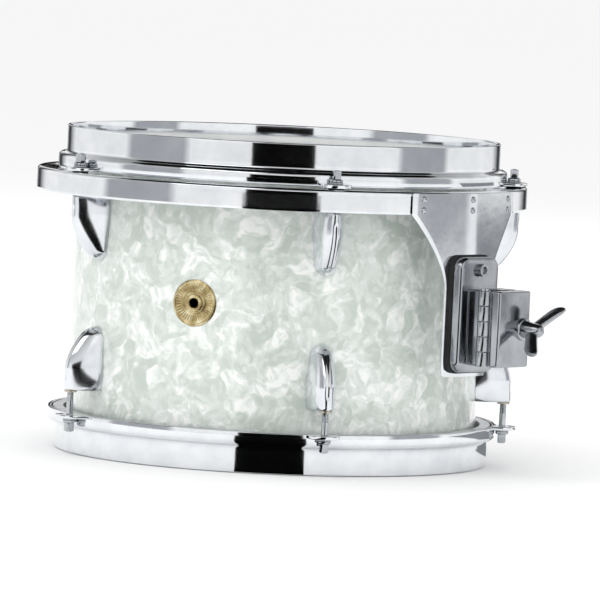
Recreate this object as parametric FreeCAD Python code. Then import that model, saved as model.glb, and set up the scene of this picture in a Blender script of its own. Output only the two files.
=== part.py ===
import FreeCAD, Part
import math
import os

# Rack tom drum, in millimetres.  +Z runs up the drum's axis and z = 0 is the
# edge of the lower hoop, on which the drum stands.  +X points at the mount.

# Shell
SHELL_DIAMETER = 330.2
SHELL_DEPTH = 228.6
PLY_WALL = 5.6
WRAP_THICKNESS = 0.5
GLUE_GAP = 0.05
EDGE_FLAT = 1.0
OUTER_EDGE_CUT = 2.5
WRAP_TRIM = 5.0

# Counterhoops
HOOP_GAUGE = 3.0
HOOP_WALL_STANDOFF = 9.7
HOOP_WALL_HEIGHT = 21.5
HOOP_SKIRT_HEIGHT = 11.5
HOOP_STEP = 6.5
HOOP_INNER_BEND = 2.5
HOOP_EDGE_BREAK = 0.4
RIM_OVERHANG = 15.5
EAR_COUNT = 5
EAR_WIDTH = 25.0
EAR_HOLE_CLEARANCE = 0.6

# Heads
FILM_THICKNESS = 0.3
COLLAR_GAP = 0.8
FLESH_HOOP_HEIGHT = 8.0
FLESH_HOOP_CLEARANCE = 1.4
FLESH_HOOP_INSIDE = 3.6
FILM_GROOVE_DEPTH = 5.0
FILM_GROOVE_CLEARANCE = 0.15

# Tension rods
ROD_DIAMETER = 5.48
ROD_TO_SKIRT = 5.7
ROD_COLLAR_THICKNESS = 2.5
ROD_HEAD_SQUARE = 6.35
ROD_HEAD_HEIGHT = 7.0
ROD_INTO_LUG = 18.0
ROD_END_CHAMFER = 0.8
ROD_WASHER_THICKNESS = 1.5
WASHER_TO_SKIRT = 0.3
COLLAR_SET_IN = 0.2
EAR_TO_BAND = 0.9

# Lugs
LUG_LENGTH = 51.0
LUG_FROM_MIDDLE = 26.5
LUG_HALF_WIDTH = 11.8
LUG_END_HALF_WIDTH = 10.4
LUG_TIP_RADIUS = 7.5
LUG_OVER_ROD = 5.5
LUG_TIP_HEIGHT = 6.5
LUG_BELLY_SHARE = 0.25
LUG_WAIST_SHARE = 0.55
LUG_SHELF_SHARE = 0.38
LUG_SLOPE_SHARE = 0.72
LUG_SLOPE_FULLNESS = 0.68
LUG_SHOULDER_SHARE = 0.3
LUG_BORE_CLEARANCE = 0.4
LUG_SEAT_GAP = 0.05
NUT_RADIUS = 4.2
NUT_LENGTH = 15.0
NUT_COLLAR_RADIUS = 5.0
NUT_COLLAR_THICKNESS = 1.5
NUT_POCKET_CLEARANCE = 0.1
THREAD_CLEARANCE = 0.05
LUG_SCREW_DIAMETER = 4.0
LUG_SCREW_FROM_END = 11.0
LUG_SCREW_PITCH = 24.0
LUG_SCREW_BITE = 5.0
LUG_SCREW_HEAD_RADIUS = 3.6
LUG_SCREW_HEAD_HEIGHT = 2.4
LUG_SCREW_SLOT_WIDTH = 0.8
LUG_SCREW_SLOT_DEPTH = 1.2
LUG_WASHER_RADIUS = 5.0
LUG_WASHER_THICKNESS = 1.0
SCREW_HOLE_CLEARANCE = 0.2
JAW_SCREW_CLEARANCE = 1.0

# Vent and badge
VENT_ANGLE = -72.0
BADGE_DIAMETER = 37.0
BADGE_THICKNESS = 0.8
VENT_BORE_RADIUS = 3.8
VENT_TUBE_WALL = 0.9
VENT_FLANGE_RADIUS = 7.0
VENT_FLANGE_THICKNESS = 0.8

# Suspension band and its plate
BAND_GAUGE = 2.0
BAND_HEIGHT = 18.0
BAND_OUTSIDE_ROD = 10.9
BAND_FLANGE_INSIDE_ROD = 6.6
GROMMET_NECK_RADIUS = 4.7
GROMMET_LIP_RADIUS = 6.2
GROMMET_LIP_THICKNESS = 0.8
GROMMET_FIT = 0.1
PLATE_GAUGE = 2.0
PLATE_SEAT_GAP = 0.05
PLATE_TOP_HALF_ANGLE = 18.3
PLATE_LOW_HALF_WIDTH = 27.0
PLATE_WAIST_BOW = 0.08
PLATE_TAPER_HEIGHT = 58.0
PLATE_BELOW_BRACKET = 4.0
RIVET_ANGLES = (-15.0, 0.0, 15.0)
RIVET_PITCH = 8.5
RIVET_RADIUS = 1.6
RIVET_HEAD_RADIUS = 2.6
RIVET_HEAD_HEIGHT = 1.2

# Mounting bracket
BRACKET_WIDTH = 47.0
BRACKET_HEIGHT = 91.0
BRACKET_CORNER = 9.0
BRACKET_FLANGE = 8.0
GASKET_THICKNESS = 3.0
GASKET_BORDER = 1.2
BRACKET_SCREW_DIAMETER = 6.0
BRACKET_SCREW_PITCH = 71.0
BRACKET_SCREW_HEAD_RADIUS = 5.0
BRACKET_SCREW_HEAD_HEIGHT = 4.0
HEX_SOCKET = 3.0
BRACKET_NUT_RADIUS = 5.5
BRACKET_NUT_HEIGHT = 5.0
BRACKET_SCREW_PAST_NUT = 2.0
BRACKET_EDGE_SHARE = 0.35
L_ROD_DIAMETER = 12.7
L_ROD_CLEARANCE = 0.1
L_ROD_FROM_FLANGE = 18.0
CLAMP_HEIGHT = 60.0
CLAMP_DROP = 9.0
CLAMP_HALF_GAP = 1.2
CLAMP_SIDE_WALL = 9.0
JAW_WALL = 7.5
JAW_EDGE_SHARE = 0.45
JAW_SWING = 5.5
KEY_SLOT_WIDTH = 5.0
KEY_SLOT_HEIGHT = 11.0
KEY_SLOT_DEPTH = 7.0
KNUCKLE_COUNT = 5
KNUCKLE_RADIUS = 5.0
KNUCKLE_GAP = 0.3
HINGE_WALL = 4.0
HINGE_PIN_RADIUS = 2.0
HINGE_PIN_HEAD = 3.2
HINGE_PIN_HEAD_HEIGHT = 1.2

# Wing screw
WING_SCREW_DIAMETER = 8.0
WING_SCREW_SIDE = 16.5
WING_SCREW_BITE = 17.0
WING_SCREW_END_GAP = 1.0
WING_HUB_RADIUS = 7.0
WING_HUB_LENGTH = 17.0
WING_SPAN = 53.0
WING_THICKNESS = 4.0
WING_TILT = -45.0
WING_SWEEP = 9.0
WING_TIP_RADIUS = 6.5
WING_HUB_TAPER = 0.75
WING_ROOT_INSET = 1.5
WING_ROOT_SHARE = 0.8
WING_CREST_SHARE = 0.4
WASHER_CUP_RADIUS = 9.0
WASHER_CUP_THICKNESS = 3.0
WASHER_CUP_EDGE_SHARE = 0.5

# Worked out from the sizes above
SHELL_RADIUS = SHELL_DIAMETER / 2
PLY_RADIUS = SHELL_RADIUS - WRAP_THICKNESS - GLUE_GAP
PLY_INSIDE = PLY_RADIUS - PLY_WALL
TOTAL_HEIGHT = SHELL_DEPTH + 2 * RIM_OVERHANG
MIDDLE = TOTAL_HEIGHT / 2
BATTER_EDGE = TOTAL_HEIGHT - RIM_OVERHANG
HOOP_WALL_OUTSIDE = SHELL_RADIUS + HOOP_WALL_STANDOFF
HOOP_WALL_INSIDE = HOOP_WALL_OUTSIDE - HOOP_GAUGE
HOOP_SKIRT_OUTSIDE = HOOP_WALL_OUTSIDE + HOOP_STEP
HOOP_SKIRT_INSIDE = HOOP_SKIRT_OUTSIDE - HOOP_GAUGE
STEP_TOP = TOTAL_HEIGHT - HOOP_WALL_HEIGHT
STEP_UNDERSIDE = STEP_TOP - HOOP_GAUGE
RIM_UNDERSIDE = STEP_TOP - HOOP_SKIRT_HEIGHT
EAR_TOP = RIM_UNDERSIDE + HOOP_GAUGE
ROD_CIRCLE = HOOP_SKIRT_OUTSIDE + ROD_TO_SKIRT
ROD_RADIUS = ROD_DIAMETER / 2
EAR_HOLE_RADIUS = ROD_RADIUS + EAR_HOLE_CLEARANCE
WASHER_RADIUS = ROD_TO_SKIRT - WASHER_TO_SKIRT
ROD_COLLAR_RADIUS = WASHER_RADIUS - COLLAR_SET_IN
ROD_ANGLES = [360.0 * (i + 0.5) / EAR_COUNT for i in range(EAR_COUNT)]
LUG_END = MIDDLE + LUG_FROM_MIDDLE + LUG_LENGTH
ROD_STANDOFF = ROD_CIRCLE - SHELL_RADIUS
LUG_HEIGHT = ROD_STANDOFF + LUG_OVER_ROD
BAND_OUTSIDE = ROD_CIRCLE + BAND_OUTSIDE_ROD
BAND_INSIDE = BAND_OUTSIDE - BAND_GAUGE
BAND_TOP = RIM_UNDERSIDE - EAR_TO_BAND
BAND_BOTTOM = BAND_TOP - BAND_HEIGHT
PLATE_INSIDE = BAND_OUTSIDE + PLATE_SEAT_GAP
PLATE_OUTSIDE = PLATE_INSIDE + PLATE_GAUGE
GASKET_INSIDE = PLATE_OUTSIDE + PLATE_SEAT_GAP
FLANGE_BACK = PLATE_OUTSIDE + GASKET_THICKNESS
FLANGE_FRONT = FLANGE_BACK + BRACKET_FLANGE
L_ROD_AXIS_X = FLANGE_FRONT + L_ROD_FROM_FLANGE
L_ROD_BORE = L_ROD_DIAMETER / 2 + L_ROD_CLEARANCE
JAW_FRONT = L_ROD_AXIS_X + L_ROD_BORE + JAW_WALL
CLAMP_FAR_SIDE = WING_SCREW_SIDE + CLAMP_SIDE_WALL
HINGE_Y = -(L_ROD_BORE + HINGE_WALL + KNUCKLE_RADIUS)
CLAMP_MIDDLE = MIDDLE - CLAMP_DROP

UP = FreeCAD.Vector(0, 0, 1)
OUT = FreeCAD.Vector(1, 0, 0)
ORIGIN = FreeCAD.Vector(0, 0, 0)


def vec(x, y, z):
    return FreeCAD.Vector(x, y, z)


def box(x0, x1, y0, y1, z0, z1):
    return Part.makeBox(x1 - x0, y1 - y0, z1 - z0, vec(x0, y0, z0))


def cylinder(radius, height, base, axis=UP):
    return Part.makeCylinder(radius, height, base, axis)


def tube(outer, inner, z0, z1):
    """Round tube about the drum's axis."""
    base = vec(0, 0, z0)
    return cylinder(outer, z1 - z0, base).cut(cylinder(inner, z1 - z0, base))


def outline(steps):
    """Closed wire from a list of points; a pair (through, end) is an arc."""
    edges = []
    here = steps[0]
    for step in steps[1:] + [steps[0]]:
        if isinstance(step, tuple):
            edges.append(Part.Arc(here, step[0], step[1]).toShape())
            here = step[1]
        elif (step - here).Length > 1e-6:
            edges.append(Part.LineSegment(here, step).toShape())
            here = step
    return Part.Wire(edges)


def spun(steps):
    """Solid of revolution about the drum's axis from an outline in the XZ plane."""
    return Part.Face(outline(steps)).revolve(ORIGIN, UP, 360)


def around(shape, angle):
    """Copy of a shape turned about the drum's axis."""
    copy = shape.copy()
    copy.rotate(ORIGIN, UP, angle)
    return copy


def low_side(shape):
    """The same piece at the lower head: mirrored in the drum's middle plane."""
    return shape.mirror(vec(0, 0, MIDDLE), UP)


def ring_of(shape):
    """One separate copy of a shape at each rod's angle."""
    return [around(shape, angle) for angle in ROD_ANGLES]


def save(name, shape):
    """Writes one node.  A list of solids becomes a group of separate solids."""
    if isinstance(shape, list):
        shape = Part.makeCompound(shape)
    shape.exportStep(os.path.join("parts", name + ".step"))


def on_diagonal(centre_x, centre_z, radius, way_x, way_z):
    """Middle point of a quarter arc whose centre and quadrant are given."""
    part = radius / math.sqrt(2)
    return vec(centre_x + way_x * part, 0, centre_z + way_z * part)


# ---- Shell: plied maple tube with cut bearing edges, and its pearl wrap ----


def screw_heights():
    """Heights of the two fixing screws of an upper lug."""
    first = LUG_END - LUG_SCREW_FROM_END
    return [first, first - LUG_SCREW_PITCH]


def screw_holes(radius):
    """Radial cylinders through the shell wall, one for every lug screw."""
    start = PLY_INSIDE - PLY_WALL
    length = SHELL_RADIUS + PLY_WALL - start
    holes = []
    for z in screw_heights():
        upper = cylinder(radius, length, vec(start, 0, z), OUT)
        holes.extend(ring_of(upper) + ring_of(low_side(upper)))
    return Part.makeCompound(holes)


def vent_hole(radius):
    start = PLY_INSIDE - PLY_WALL
    length = SHELL_RADIUS + PLY_WALL - start
    return around(cylinder(radius, length, vec(start, 0, MIDDLE), OUT), VENT_ANGLE)


def shell():
    low = RIM_OVERHANG
    high = BATTER_EDGE
    crest = PLY_RADIUS - OUTER_EDGE_CUT
    bevel = PLY_WALL - OUTER_EDGE_CUT - EDGE_FLAT
    wall = spun([
        vec(PLY_INSIDE, 0, low + bevel),
        vec(crest - EDGE_FLAT, 0, low),
        vec(crest, 0, low),
        vec(PLY_RADIUS, 0, low + OUTER_EDGE_CUT),
        vec(PLY_RADIUS, 0, high - OUTER_EDGE_CUT),
        vec(crest, 0, high),
        vec(crest - EDGE_FLAT, 0, high),
        vec(PLY_INSIDE, 0, high - bevel),
    ])
    wall = wall.cut(screw_holes(LUG_SCREW_DIAMETER / 2 + SCREW_HOLE_CLEARANCE))
    return wall.cut(vent_hole(VENT_BORE_RADIUS + VENT_TUBE_WALL + GLUE_GAP))


def pearl_wrap():
    low = RIM_OVERHANG + WRAP_TRIM
    high = BATTER_EDGE - WRAP_TRIM
    sheet = tube(SHELL_RADIUS, PLY_RADIUS + GLUE_GAP, low, high)
    sheet = sheet.cut(screw_holes(LUG_SCREW_DIAMETER / 2 + SCREW_HOLE_CLEARANCE))
    return sheet.cut(vent_hole(VENT_BORE_RADIUS + VENT_TUBE_WALL + GLUE_GAP))


# ---- Heads: coated film, gripped in an aluminium flesh hoop ----

FLESH_OUTSIDE = HOOP_SKIRT_INSIDE - FLESH_HOOP_CLEARANCE
FLESH_INSIDE = SHELL_RADIUS + FLESH_HOOP_INSIDE
FILM_BEND = PLY_RADIUS - OUTER_EDGE_CUT + COLLAR_GAP
FILM_GRIP = (FLESH_INSIDE + HOOP_WALL_INSIDE) / 2


def head_film():
    """Flat playing surface, a sloping collar and a straight edge in the groove."""
    top = BATTER_EDGE
    grip_top = STEP_UNDERSIDE
    end = grip_top - FILM_GROOVE_DEPTH + FILM_GROOVE_CLEARANCE
    return spun([
        vec(0, 0, top),
        vec(FILM_BEND, 0, top),
        vec(FILM_GRIP, 0, grip_top),
        vec(FILM_GRIP, 0, end),
        vec(FILM_GRIP + FILM_THICKNESS, 0, end),
        vec(FILM_GRIP + FILM_THICKNESS, 0, grip_top + FILM_THICKNESS / 2),
        vec(FILM_BEND + FILM_THICKNESS / 2, 0, top + FILM_THICKNESS),
        vec(0, 0, top + FILM_THICKNESS),
    ])


def flesh_hoop():
    top = STEP_UNDERSIDE
    ring = tube(FLESH_OUTSIDE, FLESH_INSIDE, top - FLESH_HOOP_HEIGHT, top)
    outer = FILM_GRIP + FILM_THICKNESS + FILM_GROOVE_CLEARANCE
    inner = FILM_GRIP - FILM_GROOVE_CLEARANCE
    return ring.cut(tube(outer, inner, top - FILM_GROOVE_DEPTH, top))


# ---- Counterhoops: straight wall, step and skirt, with welded ears ----


def hoop():
    top = TOTAL_HEIGHT
    cut = HOOP_EDGE_BREAK
    inner_bend = HOOP_INNER_BEND
    outer_bend = HOOP_STEP - inner_bend
    bend_x = HOOP_WALL_OUTSIDE + inner_bend
    high_z = STEP_TOP + inner_bend
    low_z = STEP_TOP - outer_bend
    wide = inner_bend + HOOP_GAUGE
    tight = outer_bend - HOOP_GAUGE
    ring = spun([
        vec(HOOP_WALL_INSIDE + cut, 0, top),
        vec(HOOP_WALL_OUTSIDE - cut, 0, top),
        vec(HOOP_WALL_OUTSIDE, 0, top - cut),
        vec(HOOP_WALL_OUTSIDE, 0, high_z),
        (on_diagonal(bend_x, high_z, inner_bend, -1, -1), vec(bend_x, 0, STEP_TOP)),
        (on_diagonal(bend_x, low_z, outer_bend, 1, 1), vec(HOOP_SKIRT_OUTSIDE, 0, low_z)),
        vec(HOOP_SKIRT_OUTSIDE, 0, RIM_UNDERSIDE),
        vec(HOOP_SKIRT_INSIDE, 0, RIM_UNDERSIDE),
        vec(HOOP_SKIRT_INSIDE, 0, low_z),
        (on_diagonal(bend_x, low_z, tight, 1, 1), vec(bend_x, 0, STEP_UNDERSIDE)),
        (on_diagonal(bend_x, high_z, wide, -1, -1), vec(HOOP_WALL_INSIDE, 0, high_z)),
        vec(HOOP_WALL_INSIDE, 0, top - cut),
    ])
    root = (HOOP_SKIRT_INSIDE + HOOP_SKIRT_OUTSIDE) / 2
    half = EAR_WIDTH / 2
    tip = ROD_CIRCLE + BAND_OUTSIDE_ROD
    corner = BAND_OUTSIDE_ROD / 2
    ear_wire = outline([
        vec(root, -half, RIM_UNDERSIDE),
        vec(ROD_CIRCLE, -half, RIM_UNDERSIDE),
        (vec(tip - corner / 4, -half / 2, RIM_UNDERSIDE), vec(tip, 0, RIM_UNDERSIDE)),
        (vec(tip - corner / 4, half / 2, RIM_UNDERSIDE), vec(ROD_CIRCLE, half, RIM_UNDERSIDE)),
        vec(root, half, RIM_UNDERSIDE),
    ])
    ear = Part.Face(ear_wire).extrude(vec(0, 0, HOOP_GAUGE))
    hole_base = vec(ROD_CIRCLE, 0, RIM_UNDERSIDE - HOOP_GAUGE)
    hole = cylinder(EAR_HOLE_RADIUS, 3 * HOOP_GAUGE, hole_base)
    ears = ring_of(ear.cut(hole))
    return ring.fuse(ears).removeSplitter()


# ---- Lugs: cast casing, brass swivel nut, two screws from inside the shell ----


def casing():
    """Tapered casting: its plan, side and end outlines cut one another."""
    base = SHELL_RADIUS - PLY_WALL
    crown = SHELL_RADIUS + LUG_HEIGHT
    end = LUG_END
    tip = LUG_END - LUG_LENGTH
    belly = end - LUG_LENGTH * LUG_BELLY_SHARE
    waist = end - LUG_LENGTH * LUG_WAIST_SHARE
    shelf = end - LUG_LENGTH * LUG_SHELF_SHARE
    slope = end - LUG_LENGTH * LUG_SLOPE_SHARE
    tip_z = tip + LUG_TIP_RADIUS
    plan = outline([
        vec(base, -LUG_END_HALF_WIDTH, end),
        (vec(base, -LUG_HALF_WIDTH, belly), vec(base, -LUG_END_HALF_WIDTH, waist)),
        vec(base, -LUG_TIP_RADIUS, tip_z),
        (vec(base, 0, tip), vec(base, LUG_TIP_RADIUS, tip_z)),
        vec(base, LUG_END_HALF_WIDTH, waist),
        (vec(base, LUG_HALF_WIDTH, belly), vec(base, LUG_END_HALF_WIDTH, end)),
    ])
    plan_solid = Part.Face(plan).extrude(vec(crown - base + 1, 0, 0))
    side_y = -LUG_HALF_WIDTH - 1
    low_crown = SHELL_RADIUS + LUG_TIP_HEIGHT
    middle_crown = low_crown + (crown - low_crown) * LUG_SLOPE_FULLNESS
    side = outline([
        vec(base, side_y, end),
        vec(crown, side_y, end),
        vec(crown, side_y, shelf),
        (vec(middle_crown, side_y, slope), vec(low_crown, side_y, tip + 0.5)),
        vec(low_crown, side_y, tip - 1),
        vec(base, side_y, tip - 1),
    ])
    side_solid = Part.Face(side).extrude(vec(0, -2 * side_y, 0))
    shoulder = SHELL_RADIUS + LUG_HEIGHT * LUG_SHOULDER_SHARE
    crown_half = LUG_OVER_ROD
    face = outline([
        vec(base, -LUG_HALF_WIDTH - 1, tip - 2),
        vec(shoulder, -LUG_HALF_WIDTH - 1, tip - 2),
        vec(ROD_CIRCLE, -crown_half, tip - 2),
        (vec(crown, 0, tip - 2), vec(ROD_CIRCLE, crown_half, tip - 2)),
        vec(shoulder, LUG_HALF_WIDTH + 1, tip - 2),
        vec(base, LUG_HALF_WIDTH + 1, tip - 2),
    ])
    face_solid = Part.Face(face).extrude(vec(0, 0, LUG_LENGTH + 4))
    body = plan_solid.common(side_solid).common(face_solid)
    drum = cylinder(SHELL_RADIUS + LUG_SEAT_GAP, TOTAL_HEIGHT, ORIGIN)
    body = body.cut(drum)
    pocket_base = vec(ROD_CIRCLE, 0, end - NUT_LENGTH - NUT_POCKET_CLEARANCE)
    pocket = cylinder(NUT_RADIUS + NUT_POCKET_CLEARANCE, NUT_LENGTH + 1, pocket_base)
    bore_base = vec(ROD_CIRCLE, 0, end - ROD_INTO_LUG - 1)
    bore = cylinder(ROD_RADIUS + LUG_BORE_CLEARANCE, ROD_INTO_LUG + 2, bore_base)
    body = body.cut(pocket).cut(bore)
    for z in screw_heights():
        hole_base = vec(base, 0, z)
        depth = SHELL_RADIUS - base + LUG_SCREW_BITE + 1
        radius = LUG_SCREW_DIAMETER / 2 + THREAD_CLEARANCE
        body = body.cut(cylinder(radius, depth, hole_base, OUT))
    return body


def swivel_nut():
    nut_base = vec(ROD_CIRCLE, 0, LUG_END - NUT_LENGTH)
    nut = cylinder(NUT_RADIUS, NUT_LENGTH, nut_base)
    collar_base = vec(ROD_CIRCLE, 0, LUG_END)
    collar = cylinder(NUT_COLLAR_RADIUS, NUT_COLLAR_THICKNESS, collar_base)
    bore = cylinder(ROD_RADIUS + THREAD_CLEARANCE, 2 * NUT_LENGTH, nut_base)
    return nut.fuse(collar).cut(bore).removeSplitter()


def seat_inside(radius):
    """How far out a flat disc of this radius reaches inside the shell's curve."""
    return math.sqrt(PLY_INSIDE ** 2 - radius ** 2)


def lug_screw(z):
    washer_face = seat_inside(LUG_WASHER_RADIUS) - LUG_WASHER_THICKNESS
    shank_end = SHELL_RADIUS + LUG_SCREW_BITE
    shank_base = vec(washer_face, 0, z)
    shank = cylinder(LUG_SCREW_DIAMETER / 2, shank_end - washer_face, shank_base, OUT)
    head_base = vec(washer_face - LUG_SCREW_HEAD_HEIGHT, 0, z)
    head = cylinder(LUG_SCREW_HEAD_RADIUS, LUG_SCREW_HEAD_HEIGHT, head_base, OUT)
    slot_half = LUG_SCREW_HEAD_RADIUS / 2
    slot_x = washer_face - LUG_SCREW_HEAD_HEIGHT
    floor_x = slot_x + LUG_SCREW_SLOT_DEPTH
    thin = LUG_SCREW_SLOT_WIDTH / 2
    slots = box(slot_x, floor_x, -slot_half, slot_half, z - thin, z + thin)
    slots = slots.fuse(box(slot_x, floor_x, -thin, thin, z - slot_half, z + slot_half))
    return shank.fuse(head).cut(slots).removeSplitter()


def lug_washer(z):
    start = seat_inside(LUG_WASHER_RADIUS) - LUG_WASHER_THICKNESS
    disc = cylinder(LUG_WASHER_RADIUS, LUG_WASHER_THICKNESS, vec(start, 0, z), OUT)
    radius = LUG_SCREW_DIAMETER / 2 + SCREW_HOLE_CLEARANCE
    return disc.cut(cylinder(radius, LUG_WASHER_THICKNESS, vec(start, 0, z), OUT))


# ---- Tension rods: square key head, collar, threaded shank ----


def tension_rod():
    seat = EAR_TOP + ROD_WASHER_THICKNESS
    foot = LUG_END - ROD_INTO_LUG
    shank = cylinder(ROD_RADIUS, seat - foot, vec(ROD_CIRCLE, 0, foot))
    collar = cylinder(ROD_COLLAR_RADIUS, ROD_COLLAR_THICKNESS, vec(ROD_CIRCLE, 0, seat))
    half = ROD_HEAD_SQUARE / 2
    head_foot = seat + ROD_COLLAR_THICKNESS
    head = box(ROD_CIRCLE - half, ROD_CIRCLE + half, -half, half,
               head_foot, head_foot + ROD_HEAD_HEIGHT)
    tip = [edge for edge in shank.Edges if edge.BoundBox.ZMax < foot + 0.01]
    shank = shank.makeChamfer(ROD_END_CHAMFER, tip)
    return shank.fuse([collar, head]).removeSplitter()


def rod_washer():
    base = vec(ROD_CIRCLE, 0, EAR_TOP)
    disc = cylinder(WASHER_RADIUS, ROD_WASHER_THICKNESS, base)
    return disc.cut(cylinder(ROD_RADIUS + THREAD_CLEARANCE * 4, ROD_WASHER_THICKNESS, base))


# ---- Badge and vent grommet ----


def badge():
    """Disc rolled to the shell's curve."""
    inner = SHELL_RADIUS + GLUE_GAP
    sheet = tube(inner + BADGE_THICKNESS, inner, 0, TOTAL_HEIGHT)
    plug = cylinder(BADGE_DIAMETER / 2, SHELL_RADIUS, vec(PLY_INSIDE, 0, MIDDLE), OUT)
    disc = around(plug, VENT_ANGLE).common(sheet)
    return disc.cut(vent_hole(VENT_BORE_RADIUS + VENT_TUBE_WALL + GLUE_GAP))


def vent_grommet():
    outer_seat = SHELL_RADIUS + GLUE_GAP + BADGE_THICKNESS
    inner_seat = seat_inside(VENT_FLANGE_RADIUS)
    thick = VENT_FLANGE_THICKNESS
    front = vec(outer_seat, 0, MIDDLE)
    back = vec(inner_seat - thick, 0, MIDDLE)
    length = outer_seat + thick - inner_seat + thick
    body = cylinder(VENT_BORE_RADIUS + VENT_TUBE_WALL, length, back, OUT)
    body = body.fuse(cylinder(VENT_FLANGE_RADIUS, thick, front, OUT))
    body = body.fuse(cylinder(VENT_FLANGE_RADIUS, thick, back, OUT))
    body = body.cut(cylinder(VENT_BORE_RADIUS, length, back, OUT))
    return around(body.removeSplitter(), VENT_ANGLE)


# ---- Suspension band, grommets, plate and rivets ----


def suspension_band():
    """Rolled angle: a flange under the ears and a wall outside the rods."""
    inside = ROD_CIRCLE - BAND_FLANGE_INSIDE_ROD
    wall = tube(BAND_OUTSIDE, BAND_INSIDE, BAND_BOTTOM, BAND_TOP)
    flange = tube(BAND_OUTSIDE, inside, BAND_TOP - BAND_GAUGE, BAND_TOP)
    band = wall.fuse(flange).removeSplitter()
    hole_base = vec(ROD_CIRCLE, 0, BAND_TOP - 2 * BAND_GAUGE)
    hole = cylinder(GROMMET_NECK_RADIUS + GROMMET_FIT, 3 * BAND_GAUGE, hole_base)
    return band.cut(ring_of(hole)).cut(rivet_holes())


def grommet():
    """Rubber spool round the rod, with a lip each side of the flange."""
    lip = GROMMET_LIP_THICKNESS
    low = BAND_TOP - BAND_GAUGE
    body = cylinder(GROMMET_NECK_RADIUS, BAND_GAUGE + 2 * lip, vec(ROD_CIRCLE, 0, low - lip))
    body = body.fuse(cylinder(GROMMET_LIP_RADIUS, lip, vec(ROD_CIRCLE, 0, BAND_TOP)))
    body = body.fuse(cylinder(GROMMET_LIP_RADIUS, lip, vec(ROD_CIRCLE, 0, low - lip)))
    bore = cylinder(EAR_HOLE_RADIUS, BAND_HEIGHT, vec(ROD_CIRCLE, 0, low - BAND_GAUGE))
    return body.removeSplitter().cut(bore)


def rivet_places():
    """Angle and height of each rivet."""
    middle = (BAND_TOP + BAND_BOTTOM) / 2 - BAND_GAUGE / 2
    heights = (middle - RIVET_PITCH / 2, middle + RIVET_PITCH / 2)
    return [(angle, z) for angle in RIVET_ANGLES for z in heights]


def rivet_holes():
    start = BAND_INSIDE - BAND_GAUGE
    length = PLATE_OUTSIDE + PLATE_GAUGE - start
    holes = []
    for angle, z in rivet_places():
        hole = cylinder(RIVET_RADIUS + GROMMET_FIT, length, vec(start, 0, z), OUT)
        holes.append(around(hole, angle))
    return Part.makeCompound(holes)


def rivets():
    solids = []
    for angle, z in rivet_places():
        start = math.sqrt(BAND_INSIDE ** 2 - RIVET_HEAD_RADIUS ** 2) - RIVET_HEAD_HEIGHT
        length = PLATE_OUTSIDE + RIVET_HEAD_HEIGHT - start
        body = cylinder(RIVET_RADIUS, length, vec(start, 0, z), OUT)
        body = body.fuse(cylinder(RIVET_HEAD_RADIUS, RIVET_HEAD_HEIGHT, vec(start, 0, z), OUT))
        cap = cylinder(RIVET_HEAD_RADIUS, RIVET_HEAD_HEIGHT, vec(PLATE_OUTSIDE, 0, z), OUT)
        rim = [edge for edge in cap.Edges if edge.BoundBox.XMin > PLATE_OUTSIDE + 0.1]
        body = body.fuse(cap.makeFillet(RIVET_HEAD_HEIGHT * 0.6, rim))
        solids.append(around(body.removeSplitter(), angle))
    return solids


def bracket_low():
    return MIDDLE - BRACKET_HEIGHT / 2


def mount_plate():
    """Sheet rolled to the band's curve: wide at the band, narrow at the bracket."""
    half_top = PLATE_OUTSIDE * math.sin(math.radians(PLATE_TOP_HALF_ANGLE))
    top = BAND_TOP - BAND_GAUGE / 2
    shoulder = BAND_BOTTOM
    waist = shoulder - PLATE_TAPER_HEIGHT
    foot = bracket_low() - PLATE_BELOW_BRACKET
    low = PLATE_LOW_HALF_WIDTH
    bow = (half_top + low) / 2 - (half_top - low) * PLATE_WAIST_BOW
    halfway = shoulder - PLATE_TAPER_HEIGHT * 0.42
    x = BAND_INSIDE / 2
    face = outline([
        vec(x, -half_top, top),
        vec(x, -half_top, shoulder),
        (vec(x, -bow, halfway), vec(x, -low, waist)),
        vec(x, -low, foot),
        vec(x, low, foot),
        vec(x, low, waist),
        (vec(x, bow, halfway), vec(x, half_top, shoulder)),
        vec(x, half_top, top),
    ])
    blank = Part.Face(face).extrude(vec(PLATE_OUTSIDE, 0, 0))
    sheet = tube(PLATE_OUTSIDE, PLATE_INSIDE, foot, top)
    plate = blank.common(sheet).cut(rivet_holes())
    return plate.cut(bracket_screw_holes())


# ---- Mounting bracket: gasket, cast base, clamp jaw, wing screw ----


def bracket_screw_heights():
    half = BRACKET_SCREW_PITCH / 2
    return (MIDDLE - half, MIDDLE + half)


def bracket_screw_holes():
    radius = BRACKET_SCREW_DIAMETER / 2 + SCREW_HOLE_CLEARANCE
    start = BAND_INSIDE - BRACKET_NUT_HEIGHT
    length = FLANGE_FRONT + BRACKET_SCREW_HEAD_HEIGHT - start
    holes = [cylinder(radius, length, vec(start, 0, z), OUT) for z in bracket_screw_heights()]
    return Part.makeCompound(holes)


def head_pockets():
    """Room in the clamp block for the screws' heads and their key."""
    radius = BRACKET_SCREW_HEAD_RADIUS + SCREW_HOLE_CLEARANCE
    length = L_ROD_AXIS_X - FLANGE_FRONT
    return Part.makeCompound([cylinder(radius, length, vec(FLANGE_FRONT, 0, z), OUT)
                              for z in bracket_screw_heights()])


def rounded_pad(x0, x1, half_width, half_height, corner):
    """Flat pad facing +X with four round corners."""
    pad = box(x0, x1, -half_width, half_width, MIDDLE - half_height, MIDDLE + half_height)
    upright = [e for e in pad.Edges if e.BoundBox.XLength > (x1 - x0) * 0.9]
    return pad.makeFillet(corner, upright)


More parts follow.
